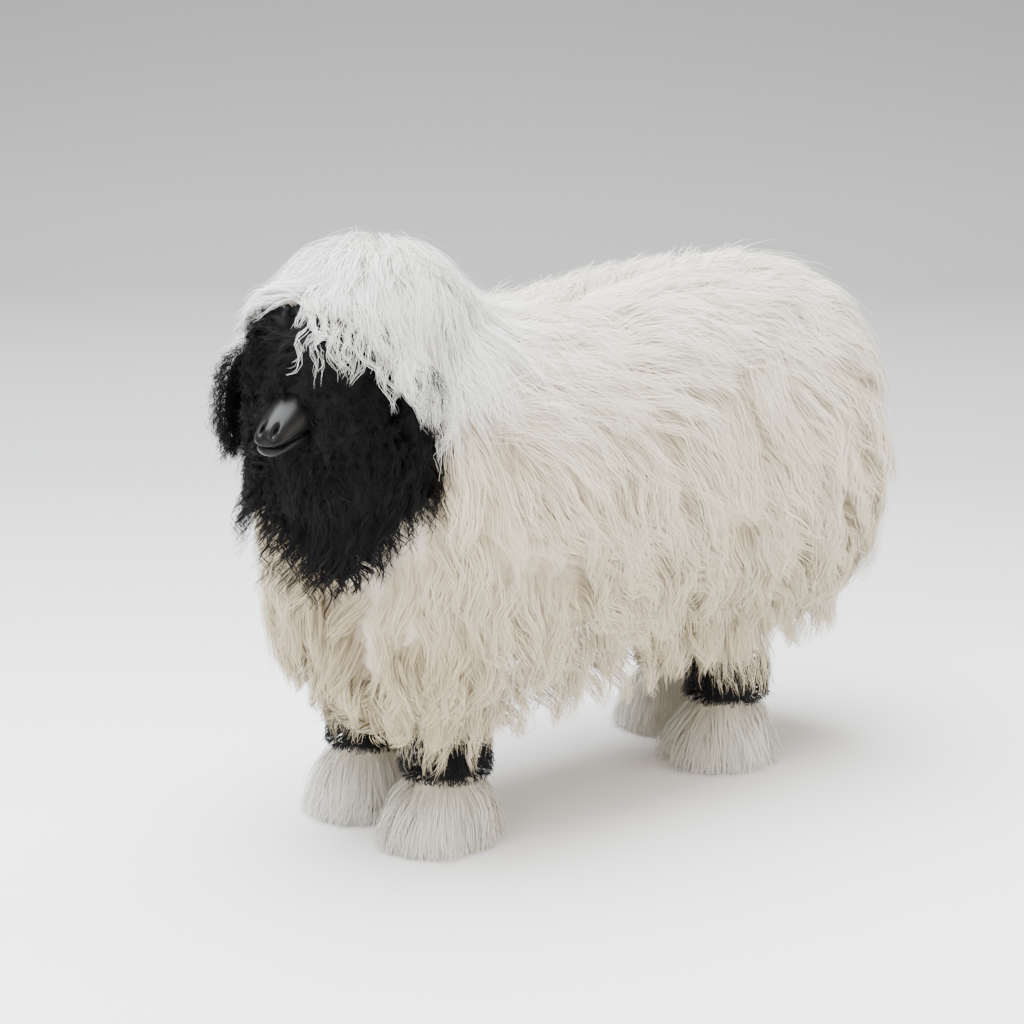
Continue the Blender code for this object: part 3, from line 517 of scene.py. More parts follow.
class Growth:
    """The tufts of one coat while they grow.

    Every step takes its random numbers from the same row, so the steps keep their order. Roots
    stand only where wanted is true. At each root, limit gives the longest that a tuft may be, calm
    the share of its waves and shallow the share of its depth.
    """

    def __init__(self, outline, coat, seed, wanted=None, limit=None, calm=None, shallow=None):
        self.outline = outline
        self.coat = coat
        self.rng = np.random.default_rng(seed)
        self.centres = outline.scatter(coat.lock_spacing, self.rng, wanted)
        self.roots = outline.scatter(coat.tuft_spacing, self.rng, wanted)
        self.owner = nearest_index(self.roots, self.centres)
        self.share = np.linspace(0, 1, coat.rings)
        self.still = np.ones((len(self.roots), 1)) if calm is None else calm(self.roots)[:, None]
        self.sunk = 1.0 if shallow is None else shallow(self.roots)[:, None]
        self.set_lengths(limit)

    def set_lengths(self, limit):
        """Lengths and turns of the locks and of the tufts."""
        coat, rng, owner = self.coat, self.rng, self.owner
        lock_share = 1 + coat.length_vary * rng.uniform(-1, 1, len(self.centres))
        self.lock_turns = rng.normal(0, coat.turn, len(self.centres))
        self.turns = self.lock_turns[owner] + rng.normal(0, coat.tuft_turn, len(self.roots))
        self.lock_lengths = coat.length * lock_share
        self.lengths = self.lock_lengths[owner] * rng.uniform(0.86, 1.08, len(self.roots))
        if limit is not None:
            longest = np.minimum(coat.length, limit(self.outline.project(self.centres)[0]))
            self.lock_lengths = longest * lock_share
            longest = np.minimum(coat.length, limit(self.outline.project(self.roots)[0]))
            self.lengths = longest * lock_share[owner] * rng.uniform(0.9, 1.0, len(self.roots))

    def middle_lines(self, lie):
        """Middle line of each tuft, gathered towards that of its lock, and its normals and sides."""
        coat = self.coat
        lock_lines, _, _ = trace(self.outline, self.centres, self.lock_lengths, lie, coat.rings,
                                 self.lock_turns, coat.fall_below)
        lines, self.normals, self.sides = trace(self.outline, self.roots, self.lengths, lie, coat.rings,
                                                self.turns, coat.fall_below)
        apart = lock_lines[self.owner] - lines
        reach = np.linalg.norm(apart, axis=2, keepdims=True)
        apart = apart * np.minimum(1, coat.lock_spacing * 1.2 / np.maximum(reach, 1e-6))
        pull = (coat.gather * self.share**1.3)[None, :, None] * self.still[:, :, None]
        return lines + apart * pull

    def waved(self, lines):
        """The middle lines with the waves that a lock shares, and at their heights over the skin."""
        coat, rng, owner, share = self.coat, self.rng, self.owner, self.share
        count, locks = len(self.roots), len(self.centres)
        phase = rng.uniform(0, FULL_TURN, locks)[owner][:, None] + rng.normal(0, 0.35, (count, 1))
        self.run = self.lengths[:, None] * share[None]
        self.rate = 2 * math.pi / (coat.wave_length * rng.uniform(0.8, 1.25, locks)[owner][:, None])
        swell = coat.wave * np.minimum(share * 2.2, 1)[None] * self.still
        sway = swell * np.sin(self.run * self.rate + phase)
        bob = swell * 0.55 * np.cos(self.run * self.rate + phase)
        rise = np.minimum(share / coat.rise, 1.0) ** 0.8
        height = (-coat.depth * (1 - rise))[None] * self.sunk + coat.lift * share[None] ** 1.5
        height = height + rng.normal(0, coat.lift_vary, (count, 1)) * share[None]
        height = height + rng.normal(0, coat.lift_vary, (locks, 1))[owner] * share[None]
        height = height - coat.sink
        return lines + self.sides * sway[..., None] + self.normals * (height + bob)[..., None]

    def strand_offsets(self):
        """How far each strand stands off its tuft's middle line, sideways and outwards."""
        coat, rng, share = self.coat, self.rng, self.share[None, None]
        n, k = len(self.roots), coat.strands
        angle = rng.uniform(0, FULL_TURN, (n, k))
        loose = rng.random((n, k)) < coat.loose
        radius = coat.spread * np.sqrt(rng.random((n, k))) * np.where(loose, 1.8, 1.0)
        away = np.where(loose, rng.uniform(0.001, 0.005, (n, k)), 0)[..., None] * share**1.5
        close = (1 - coat.clump * self.still * self.share[None] ** coat.clump_power)[:, None]
        run, rate = self.run[:, None], self.rate[:, None]
        phase = rng.uniform(0, FULL_TURN, (n, k, 1))
        rate = rate * rng.uniform(1.6, 2.6, (n, k, 1))
        aside = coat.fine_wave * np.sin(run * rate + phase) * share**0.5
        out = coat.fine_wave * np.cos(run * rate + phase * 1.7) * share**0.5
        if coat.curl:
            ringlet = coat.curl * np.minimum(share * 2, 1) * self.still[:, None]
            rate = 2 * math.pi / coat.curl_length * rng.uniform(0.8, 1.25, (n, 1, 1))
            phase = rng.uniform(0, FULL_TURN, (n, 1, 1)) + coat.curl_vary * rng.uniform(-1, 1, (n, k, 1))
            aside = aside + ringlet * np.sin(run * rate + phase)
            out = out + ringlet * np.cos(run * rate + phase)
        aside = (radius * np.cos(angle))[..., None] * close + aside
        out = (radius * np.sin(angle))[..., None] * close * 0.45 + out + away
        return aside, out

    def strands(self, middle, floor, shorter):
        """Paths of the single strands as (tufts, strands, rings, 3)."""
        coat, rng = self.coat, self.rng
        size = (len(self.roots), coat.strands, 1)
        aside, out = self.strand_offsets()
        stretch = rng.uniform(0.80, 1.0 if shorter else 1.12, (*size, 1))
        base = middle[:, :1]
        paths = base[:, None] + (middle[:, None] - base[:, None]) * stretch
        paths = paths + self.sides[:, None] * aside[..., None] + self.normals[:, None] * out[..., None]
        if coat.hem is not None:
            low = paths[..., 2] - coat.hem - HEM_RAGGED * rng.random(size)
            paths[..., 2] -= np.minimum(low, 0) * HEM_SHORTENING
        if floor is not None:
            paths[..., 2] = np.maximum(paths[..., 2], floor + FLOOR_RAGGED * rng.random(size))
        return paths

    def blades(self, paths):
        """The two edges of each blade, which faces mostly outwards, and its directions across."""
        coat, rng = self.coat, self.rng
        size = (len(self.roots), coat.strands, 1, 1)
        along = np.empty_like(paths)
        along[:, :, 1:-1] = paths[:, :, 2:] - paths[:, :, :-2]
        along[:, :, 0] = paths[:, :, 1] - paths[:, :, 0]
        along[:, :, -1] = paths[:, :, -1] - paths[:, :, -2]
        twist = rng.uniform(-0.9, 0.9, size)
        across = unit(np.cross(unit(along), self.normals[:, None] + self.sides[:, None] * twist))
        width = coat.half_width * np.interp(self.share, [0, 0.3, 0.75, 1], [1, 1, 0.8, coat.tip])
        width = width[None, None, :, None] * rng.uniform(0.75, 1.3, size)
        return np.stack([paths - across * width, paths + across * width], axis=3), across

    def shading(self, across):
        """Normals that follow the coat as a whole, with a little of each blade's own turn."""
        coat, rng = self.coat, self.rng
        n, k = len(self.roots), coat.strands
        lean = rng.normal(0, coat.lean, (n, k, 1, 3)) + rng.normal(0, coat.lean, (n, 1, 1, 3))
        lock_lean = rng.normal(0, coat.lean * 1.6, (len(self.centres), 3))[self.owner]
        soft = self.normals[:, None] + lean + lock_lean[:, None, None] + np.array([0, 0, UPWARD_SHADE])
        return unit(np.stack([soft - across * coat.round, soft + across * coat.round], axis=3))

    def patches(self, skin_map):
        """Places on the colour map: each tuft is one small patch at its root's place."""
        place = skin_map(self.roots)[:, None, None]
        size = (len(self.roots), self.coat.strands, 1)
        u = place[..., 0] + PATCH * (self.rng.random(size) * np.ones(self.coat.rings) - 0.5)
        v = place[..., 1] + PATCH * (self.share - 0.5) * np.ones(size)
        places = np.stack([u, v], axis=-1)
        return np.repeat(places[:, :, :, None], 2, axis=3)

    def tones(self):
        """One tone per strand, shared half with its tuft and half with its lock."""
        n, k = len(self.roots), self.coat.strands
        tuft_tone = self.rng.random(n)
        lock_tone = self.rng.random(len(self.centres))[self.owner]
        shared = 0.5 * tuft_tone + 0.5 * lock_tone
        return np.clip(shared[:, None] + self.rng.normal(0, 0.12, (n, k)), 0, 1)


def coat_piece(name, data, rows, material):
    """One mesh object from some of a coat's strands."""
    verts = data["points"][rows].reshape(-1, 3)
    points = data["points"].shape[1]
    quads = points // 2 - 1
    first = (np.arange(len(rows)) * points)[:, None, None]
    loops = (first + np.arange(quads)[None, :, None] * 2 + np.array([0, 1, 3, 2])[None, None]).reshape(-1)
    count = len(loops) // 4
    mesh = bpy.data.meshes.new(name)
    mesh.vertices.add(len(verts))
    mesh.vertices.foreach_set("co", verts.ravel().astype(np.float32))
    mesh.loops.add(len(loops))
    mesh.loops.foreach_set("vertex_index", loops.astype(np.int32))
    mesh.polygons.add(count)
    mesh.polygons.foreach_set("loop_start", np.arange(0, len(loops), 4, dtype=np.int32))
    mesh.update(calc_edges=True)
    layer = mesh.uv_layers.new(name="OFBake")
    layer.data.foreach_set("uv", data["patch"][rows].reshape(-1, 2)[loops].ravel().astype(np.float32))
    for label in ("tone", "along"):
        values = mesh.attributes.new(label, "FLOAT", "POINT")
        values.data.foreach_set("value", data[label][rows].ravel().astype(np.float32))
    obj = finished(linked(name, mesh), material)
    mesh.normals_split_custom_set_from_vertices(data["shade"][rows].reshape(-1, 3).tolist())
    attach(obj, "root")
    return obj


def grow_coat(name, material, outline, skin_map, coat, lie, seed, floor=None, shorter=False, **chosen):
    """The objects of one coat; what Growth says of wanted, limit, calm and shallow holds here too."""
    growth = Growth(outline, coat, seed, **chosen)
    middle = growth.waved(growth.middle_lines(lie))
    blades, across = growth.blades(growth.strands(middle, floor, shorter))
    shade = growth.shading(across)
    patches = growth.patches(skin_map)
    tones = growth.tones()
    total, points = tones.size, coat.rings * 2
    data = {"points": blades.reshape(total, points, 3),
            "shade": shade.reshape(total, points, 3),
            "patch": patches.reshape(total, points, 2),
            "tone": np.repeat(tones.reshape(total, 1), points, axis=1),
            "along": np.tile(np.repeat(growth.share, 2), (total, 1))}
    pieces = math.ceil(total / (PIECE_LIMIT // (points - 2)))
    names = [name] if pieces == 1 else [f"{name}_{number + 1}" for number in range(pieces)]
    parts = np.array_split(np.arange(total), pieces)
    return [coat_piece(label, data, rows, material) for label, rows in zip(names, parts)]


# Places on the head

def in_head(points):
    """World points in the head's axes."""
    inverse = np.array(HEAD.inverted())
    return points @ inverse[:3, :3].T + inverse[:3, 3]


def from_head(vectors):
    """Directions in the head's axes as world directions."""
    return vectors @ np.array(HEAD)[:3, :3].T


def brow_side(points):
    """Distance of points to the plane between crown and face, positive towards the crown."""
    return (in_head(points) - np.array(BROW_POINT)) @ np.array(BROW_NORMAL)


def border(points):
    """Distance to the edge between black face and white crown, positive on the white side."""
    aside = in_head(points)[:, 1]
    return brow_side(points) - BROW_RISE * np.clip((0.004 - aside) / 0.008, 0, 1)


def above_edge(points):
    """Height over the lower edge of the beard."""
    local = in_head(points)
    return local[:, 2] - np.interp(local[:, 1], *np.array(BEARD_EDGE).T)


def crown_reach(points):
    """1 on the crown's outline, less inside."""
    return np.linalg.norm((in_head(points) - np.array(CROWN_CENTRE)) / np.array(CROWN_RADII), axis=1)


def ear_reach(points, side):
    """1 on the ear's outline, less inside."""
    inverse = np.array(ear_matrix(side).inverted())
    local = points @ inverse[:3, :3].T + inverse[:3, 3]
    return np.linalg.norm(local / np.array(EAR_RADII), axis=1)


def between(points, low, high):
    """True for points between two heights."""
    return (points[:, 2] > low) & (points[:, 2] < high)


# Lie of the coat, one row per point

def body_lie(points, normals):
    """Down and back, more so higher up; straight down on the chest and the rump."""
    height = np.clip((points[:, 2] - 0.10) / 0.24, 0, 1)
    chest = np.clip((points[:, 0] - 0.06) / 0.12, 0, 1)
    rump = np.clip((-0.20 - points[:, 0]) / 0.05, 0, 1)
    back = (0.30 + 0.80 * height) * (1 - chest) * (1 - 0.8 * rump)
    aside = 0.55 * np.sign(points[:, 1]) * np.maximum(normals[:, 2], 0) + 0.06 * np.sin(points[:, 0] * 40)
    down = -0.85 - 0.2 * (1 - np.abs(normals[:, 2]))
    return np.column_stack([-back, aside, down])


def blend(weight, first, second):
    """Rows of first where the weight is 0 and of second where it is 1."""
    weight = np.clip(weight, 0, 1)[:, None]
    return np.array(first) * (1 - weight) + np.array(second) * weight


def crown_lie(points, normals):
    """Out from the whorl, then along the brow on the far side and down over it on the near side."""
    local = in_head(points)
    away = unit(local - np.array(WHORL))
    aside = local[:, 1]
    near = blend(aside / 0.05, (0.40, 0.12, -0.91), (0.12, 0.25, -0.95))
    far = blend(-aside / 0.06, (0.10, -0.82, -0.46), (-0.25, -0.62, -0.72))
    edge = np.where((aside > 0.004)[:, None], near, far)
    return from_head(blend((0.045 - border(points)) / 0.030, away, edge))


def face_lie(points, normals):
    """Down from the brow and forward on the bridge of the nose."""
    local = in_head(points)
    spread = 0.20 * np.sign(local[:, 1]) * np.clip(np.abs(local[:, 1]) / 0.03, 0, 1)
    bridge = np.clip((local[:, 0] - 0.045) / 0.02, 0, 1) * (np.abs(local[:, 1]) < 0.022)
    return from_head(np.column_stack([0.05 + 0.75 * bridge, spread, -1.0 + 0 * spread]))


def fall_lie(points, normals):
    """Straight down."""
    return np.tile((0.0, 0.0, -1.0), (len(points), 1))


# Unwraps of the skin: where each root's patch lies on the coat's colour map

def body_map(points):
    u = 0.02 + 0.96 * (points[:, 0] + 0.29) / 0.52
    v = 0.5 + 0.48 * np.arctan2(points[:, 1], points[:, 2] - 0.21) / math.pi
    return np.column_stack([u, v])


def head_map(points):
    local = in_head(points)
    reach = np.linalg.norm(local, axis=1) + 1e-6
    u = 0.5 + 0.48 * np.arctan2(local[:, 1], local[:, 0]) / math.pi
    v = 0.02 + 0.96 * np.arccos(np.clip(local[:, 2] / reach, -1, 1)) / math.pi
    return np.column_stack([u, v])


def leg_map(x, y):
    """The unwrap of a leg that stands at x and y."""

    def placed(points):
        u = 0.5 + 0.48 * np.arctan2(points[:, 1] - y, points[:, 0] - x) / math.pi
        v = 0.02 + 0.96 * points[:, 2] / 0.13
        return np.column_stack([u, v])

    return placed


# Finishes

def principled(name, roughness, specular, sheen=0.0):
    """A new material with its nodes, links and shader."""
    mat = bpy.data.materials.new(name)
    mat.use_nodes = True
    shader = mat.node_tree.nodes["Principled BSDF"]
    shader.inputs["Roughness"].default_value = roughness
    shader.inputs["Specular IOR Level"].default_value = specular
    shader.inputs["Sheen Weight"].default_value = sheen
    return mat, mat.node_tree.nodes, mat.node_tree.links, shader


def attribute(nodes, name):
    node = nodes.new("ShaderNodeAttribute")
    node.attribute_name = name
    return node.outputs["Fac"]


def ramp(nodes, links, factor, stops):
    """A colour between stops of place and colour."""
    node = nodes.new("ShaderNodeValToRGB")
    links.new(factor, node.inputs["Fac"])
    elements = node.color_ramp.elements
    while len(elements) < len(stops):
        elements.new(0.5)
    for element, (place, colour) in zip(elements, stops):
        element.position = place
        element.color = (*colour, 1)
    return node.outputs["Color"]


def mixed(nodes, links, factor, first, second, mode="MIX"):
    """Two colours mixed; a number or colour is set on its socket, anything else is linked."""
    node = nodes.new("ShaderNodeMix")
    node.data_type = "RGBA"
    node.blend_type = mode
    for socket, value in ((node.inputs["Factor"], factor), (node.inputs["A"], first),
                          (node.inputs["B"], second)):
        if isinstance(value, (int, float)):
            socket.default_value = value
        elif isinstance(value, tuple):
            socket.default_value = (*value, 1)
        else:
            links.new(value, socket)
    return node.outputs["Result"]


def noise(nodes, links, scale, detail=3.0):
    """Soft mottling fixed to the object."""
    place = nodes.new("ShaderNodeTexCoord")
    node = nodes.new("ShaderNodeTexNoise")
    node.inputs["Scale"].default_value = scale
    node.inputs["Detail"].default_value = detail
    links.new(place.outputs["Object"], node.inputs["Vector"])
    return node.outputs["Fac"]


def by_place(nodes, links, axis, stops):
    """A colour by place along one axis of the object; the stops are places and colours."""
    place = nodes.new("ShaderNodeTexCoord")
    split = nodes.new("ShaderNodeSeparateXYZ")
    links.new(place.outputs["Object"], split.inputs["Vector"])
    first, last = stops[0][0], stops[-1][0]
    share = nodes.new("ShaderNodeMapRange")
    share.inputs["From Min"].default_value = first
    share.inputs["From Max"].default_value = last
    links.new(split.outputs[axis], share.inputs["Value"])
    return ramp(nodes, links, share.outputs["Result"],
                [((where - first) / (last - first), colour) for where, colour in stops])


def wool(name, root, shade, light, roughness=0.60, specular=0.25, sheen=0.1, painted_height_shade=(), painted_chest_shade=()):
    """Wool with its root colour at the skin, painted shade deep in the coat, and further out between
    shade and light tones that differ at random.

    The painted height shade and painted chest shade are places and colours of painted shade multiplied
    in, by height (darker and warmer lower down, with painted warm bounce light) and from rump to chest
    (darker at the chest).
    """
    mat, nodes, links, shader = principled(name, roughness, specular, sheen)
    outer = ramp(nodes, links, attribute(nodes, "tone"), ((0.0, shade), (0.75, light)))
    patches = ramp(nodes, links, noise(nodes, links, 14), ((0.40, shade), (0.62, light)))
    outer = mixed(nodes, links, 0.35, outer, patches)
    # Painted shade deep in the coat: the darker root colour fades into the outer tone along the first
    # half of each strand
    depth = ramp(nodes, links, attribute(nodes, "along"), ((0.05, (0, 0, 0)), (0.50, (1, 1, 1))))
    base = mixed(nodes, links, depth, root, outer)
    # Painted shade and painted warm bounce light, multiplied in by height and from rump to chest
    for axis, stops in (("Z", painted_height_shade), ("X", painted_chest_shade)):
        if stops:
            base = mixed(nodes, links, 1.0, base, by_place(nodes, links, axis, stops), "MULTIPLY")
    links.new(base, shader.inputs["Base Color"])
    return mat


def skin_and_gap_shade():
    mat, nodes, links, shader = principled("skin_and_gap_shade", roughness=0.85, specular=0.2)
    # Mottled beige, darker than the wool: partly the skin's own colour, partly painted shade where the
    # skin shows between the tufts
    stops = ((0.3, (0.66, 0.57, 0.44)), (0.7, (0.78, 0.70, 0.58)))
    mottled = ramp(nodes, links, noise(nodes, links, 60), stops)
    colour = mixed(nodes, links, attribute(nodes, "dark"), mottled, (0.010, 0.010, 0.011))
    links.new(colour, shader.inputs["Base Color"])
    return mat


def muzzle_finish():
    mat, nodes, links, shader = principled("muzzle_finish", roughness=0.32, specular=0.17)
    stops = ((0.35, (0.003, 0.003, 0.0035)), (0.7, (0.007, 0.0065, 0.007)))
    links.new(ramp(nodes, links, noise(nodes, links, 90), stops), shader.inputs["Base Color"])
    bump = nodes.new("ShaderNodeBump")
    bump.inputs["Strength"].default_value = 0.25
    bump.inputs["Distance"].default_value = 0.0004
    links.new(noise(nodes, links, 420, detail=5), bump.inputs["Height"])
    links.new(bump.outputs["Normal"], shader.inputs["Normal"])
    return mat


# Skin

def leg_form(x, y):
    """A leg and its foot under the wool; profile rows are height, radii and shift."""
    profile = ((0.0012, 0.0340, 0.0290, SOLE_FORWARD), (0.012, 0.0300, 0.0260, SOLE_FORWARD * 0.8),
               (0.030, 0.0215, 0.0205, SOLE_FORWARD * 0.4), (0.045, 0.0190, 0.0190, 0),
               (0.110, 0.0195, 0.0195, 0), (0.150, 0.030, 0.030, 0))
    return column("form", x, y, profile)


def skin_forms():
    forms = [body_form(-BODY_DEPTH, BELLY_LIFT),
             ellipsoid("form", Matrix(), NECK_CENTRE, grown(NECK_RADII, -NECK_DEPTH)),
             ellipsoid("form", HEAD, CROWN_CENTRE, grown(CROWN_RADII, -CROWN_DEPTH)),
             ellipsoid("form", HEAD, NAPE_CENTRE, grown(NAPE_RADII, -CROWN_DEPTH)),
             face_form(-FACE_DEPTH),
             ellipsoid("form", Matrix(), TAIL_CORE_CENTRE, TAIL_CORE_RADII)]
    for side in (1, -1):
        forms.append(ellipsoid("form", ear_matrix(side), Vector(), EAR_CORE_RADII, sides=24, rows=15))
        root = Vector((EAR_ROOT_CENTRE.x, EAR_ROOT_CENTRE.y * side, EAR_ROOT_CENTRE.z))
        forms.append(ellipsoid("form", HEAD, root, EAR_ROOT_RADII, sides=20, rows=11))
    for x, y in LEG_PLACES.values():
        forms.append(leg_form(x, y))
    return forms


def dark_places(places, black):
    """1 where the skin lies under black wool: the face, the ears and the ankle bands."""
    near_brow = brow_side(places) > -0.020
    on_face = black.inside(places, 0.0) | (black.inside(places, -0.007) & near_brow)
    on_face &= border(places) < 0.005
    on_ear = (ear_reach(places, 1) < 1.1) | (ear_reach(places, -1) < 1.1)
    in_band = (places[:, 2] > CUFF_SPAN[0]) & (places[:, 2] < CUFF_SPAN[1])
    near_leg = np.zeros(len(places), bool)
    for x, y in LEG_PLACES.values():
        near_leg |= np.hypot(places[:, 0] - x, places[:, 1] - y) < 0.028
    return on_face | on_ear | (in_band & near_leg)


def skin_object(black):
    skin = merged("skin", skin_forms(), voxel=0.0038, smooth=5)
    places = np.array([v.co for v in skin.data.vertices])
    layer = skin.data.attributes.new("dark", "FLOAT", "POINT")
    layer.data.foreach_set("value", dark_places(places, black).astype(np.float32))
    return finished(skin, skin_and_gap_shade())


# Muzzle

def muzzle_loft(stations, power):
    """A smooth bar through the stations, boxier as the power grows."""
    rings = []
    for x, z, half, up, down in catmull(stations, 34):
        ring = ring_points(Vector((x, 0, z)), LEFT, UP, half, up, down, 44, power)
        rings.append([HEAD @ p for p in ring])
    return loft("form", rings)


def nostril_push(local):
    """How far a place in the head's axes is pushed in by the nearer nostril."""
    push = 0.0
    for side in (1, -1):
        gap = local - Vector((NOSTRIL.x, NOSTRIL.y * side, NOSTRIL.z))
        reach = sum((g / r) ** 2 for g, r in zip(gap, NOSTRIL_RADII))
        push = max(push, NOSTRIL_DEPTH * math.exp(-reach))
    return push


def muzzle_object():
    forms = [muzzle_loft(MUZZLE_STATIONS, power=2.0), muzzle_loft(LIP_STATIONS, power=2.1)]
    muzzle = merged("muzzle_form", forms, voxel=0.0007, smooth=2)
    inverse = HEAD.inverted()
    inward = (HEAD.to_3x3() @ NOSTRIL_INWARD).normalized()
    for vert in muzzle.data.vertices:
        vert.co += inward * nostril_push(inverse @ vert.co)
    return finished(muzzle, muzzle_finish())


# Outlines and places of the coats

def white_forms():
    return [body_form(),
            ellipsoid("form", Matrix(), TAIL_CENTRE, TAIL_RADII),
            ellipsoid("form", Matrix(), NECK_CENTRE, NECK_RADII),
            ellipsoid("form", HEAD, NAPE_CENTRE, NAPE_RADII),
            ellipsoid("form", HEAD, CROWN_CENTRE, CROWN_RADII)]


def white_outline():
    return Surface(merged("white", white_forms(), voxel=0.004, smooth=5))


def head_outline():
    ears = [ellipsoid("form", ear_matrix(side), Vector(), grown(EAR_RADII, 0.001)) for side in (1, -1)]
    forms = white_forms() + ears + [face_form(0.002)]
    return Surface(merged("head", forms, voxel=0.003, smooth=4))


def fringe_limit(points):
    """Longest a tuft may be where it hangs towards the lower edge of the fleece."""
    stations = np.array(BODY_STATIONS)
    edge = np.interp(points[:, 0], stations[:, 0], np.minimum(stations[:, 2], 0.10))
    return np.maximum((points[:, 2] - edge + 0.002) * 1.12, 0.010)


def waviness(points):
    """1 on the flanks, chest and rump, where the locks wave, and little on the back and shoulders."""
    forward = np.clip((points[:, 0] - 0.02) / 0.08, 0, 1)
    backward = np.clip((-0.17 - points[:, 0]) / 0.05, 0, 1)
    level = 0.325 - 0.015 * forward - 0.02 * backward
    return 0.12 + 0.88 * np.clip((level - points[:, 2]) / 0.06, 0, 1)


# How far the crown's hair and the forelock hang past the edge: place to the figure's left, length
CROWN_OVERHANG = (
    (-0.060, 0.012), (-0.045, 0.019), (-0.025, 0.031), (0.003, 0.032), (0.005, 0.000), (0.020, 0.001),
    (0.035, 0.005), (0.046, 0.014), (0.058, 0.022),
)
FORELOCK_OVERHANG = (
    (-0.050, 0.018), (-0.030, 0.025), (0.003, 0.028), (0.005, 0.040), (0.018, 0.036), (0.034, 0.031),
    (0.052, 0.035),
)


def overhang(points, stops):
    """The length that a table gives for each point."""
    return np.interp(in_head(points)[:, 1], *np.array(stops).T)


def bridge_share(points):
    """1 on the smooth bridge of the nose, 0 away from it."""
    local = in_head(points)
    front = np.clip((local[:, 0] - 0.050) / 0.010, 0, 1)
    return front * np.clip((0.026 - np.abs(local[:, 1])) / 0.010, 0, 1) * (local[:, 2] > -0.022)


def off_muzzle(points):
    local = in_head(points)
    covered = (local[:, 0] > 0.062) & (np.abs(local[:, 1]) < 0.013)
    return ~(covered & (local[:, 2] < 0.000) & (local[:, 2] > -0.028))


# Coats of each part

def fleece(outline, black, material):
    """Smooth wool on the back and shoulders, and long wavy locks below it."""

    def on_body(points):
        off_crown = (crown_reach(points) > 1.03) | (brow_side(points) < -0.02)
        over_black = black.inside(points, -0.008) | black.inside(points - (0, 0, 0.025), -0.004)
        return off_crown & ~over_black

    def smooth(points):
        return (waviness(points) < 0.40) & on_body(points)

    def wavy(points):
        return (waviness(points) >= 0.40) & on_body(points)

    back = Coat(
        length=0.050, strands=14, rings=6, tuft_spacing=0.0060, spread=0.0062, wave=0.0032,
        wave_length=0.030, fine_wave=0.0010, half_width=0.00015, clump=0.20, gather=0.4, lean=0.030,
        lift_vary=0.0016, round=0.10, turn=0.42, tuft_turn=0.30, loose=0.20)
    flank = Coat(
        length=0.070, strands=10, rings=9, hem=0.073, lock_spacing=0.023, tuft_spacing=0.0070,
        spread=0.0042, wave=0.0036, wave_length=0.034, fine_wave=0.0005, half_width=0.00018, lean=0.08,
        turn=0.34, tuft_turn=0.12, gather=0.74, clump=0.55, length_vary=0.24)
    made = grow_coat("back_coat", material, outline, body_map, back, body_lie, seed=4, wanted=smooth,
                     calm=waviness)
    return made + grow_coat("fleece", material, outline, body_map, flank, body_lie, seed=3, wanted=wavy,
                            limit=fringe_limit, calm=waviness)


def crown(outline, material):
    """Soft straight hair from the whorl out to the brow."""

    def on_crown(points):
        return (crown_reach(points) < 1.05) & (border(points) > 0.0)

    def limit(points):
        return np.maximum(border(points) / 0.85, 0.005) + overhang(points, CROWN_OVERHANG)

    def shallow(points):
        from_whorl = np.linalg.norm(in_head(points) - np.array(WHORL), axis=1) - 0.020
        at_edge = 0.25 + 0.75 * np.clip(border(points) / 0.022, 0, 1)
        return at_edge * (0.35 + 0.65 * np.clip(from_whorl / 0.025, 0, 1))

    coat = Coat(
        length=0.064, strands=14, rings=8, depth=CROWN_DEPTH, tuft_spacing=0.0046, lock_spacing=0.012,
        wave=0.0012, wave_length=0.026, curl=0.0005, spread=0.0055, gather=0.20, clump=0.35,
        clump_power=4.0, half_width=0.00014, turn=0.14, sink=0.002, lift_vary=0.0012, lean=0.03,
        round=0.10)
    return grow_coat("crown_coat", material, outline, head_map, coat, crown_lie, seed=5, wanted=on_crown,
                     limit=limit, shallow=shallow)


def forelock(outline, material):
    """Separate wavy locks that hang from the crown's edge over the black."""

    def at_edge(points):
        aside, over = in_head(points)[:, 1], border(points)
        off_parting = np.abs(aside + 0.001) > 0.005
        on_edge = (over > -0.001) & (over < 0.011) & (aside > -0.055) & (aside < 0.080)
        return on_edge & off_parting & (crown_reach(points) < 1.15)

    def limit(points):
        return border(points) + overhang(points, FORELOCK_OVERHANG)

    def calm(points):
        return 0.25 + 0.75 * (in_head(points)[:, 1] > 0.004)

    coat = Coat(
        length=0.056, length_vary=0.26, strands=7, rings=13, depth=0.004, tuft_spacing=0.0042,
        lock_spacing=0.0078, wave=0.0028, wave_length=0.028, curl=0.0012, curl_length=0.016,
        curl_vary=0.9, spread=0.0022, fine_wave=0.0005, gather=0.66, clump=0.40, loose=0.25,
        half_width=0.00012, turn=0.22, tuft_turn=0.12, sink=0.0, lift=0.002, lean=0.04)
    return grow_coat("forelock_coat", material, outline, head_map, coat, crown_lie, seed=6,
                     wanted=at_edge, limit=limit, calm=calm)


def black_coat(**given):
    return Coat(depth=FACE_DEPTH, tip=0.35, lift_vary=0.0012, sink=0.001, **given)


def face_wool(outline, on_face, material):
    """Short crimped wool."""

    def limit(points):
        to_tip = np.maximum(above_edge(points) - 0.012, 0.004) * 1.1
        return np.minimum(0.016 - 0.004 * bridge_share(points), to_tip)

    coat = black_coat(
        length=0.016, strands=9, rings=9, half_width=0.00016, tuft_spacing=0.0040, lock_spacing=0.008,
        wave=0.0010, wave_length=0.011, curl=0.0012, curl_length=0.0075, curl_vary=0.8, spread=0.0024,
        fine_wave=0.0004, gather=0.25, clump=0.35, loose=0.2, turn=0.70, tuft_turn=0.45)
    return grow_coat("face_coat", material, outline, head_map, coat, face_lie, seed=7, wanted=on_face,
                     limit=limit, calm=lambda points: 1 - 0.85 * bridge_share(points))


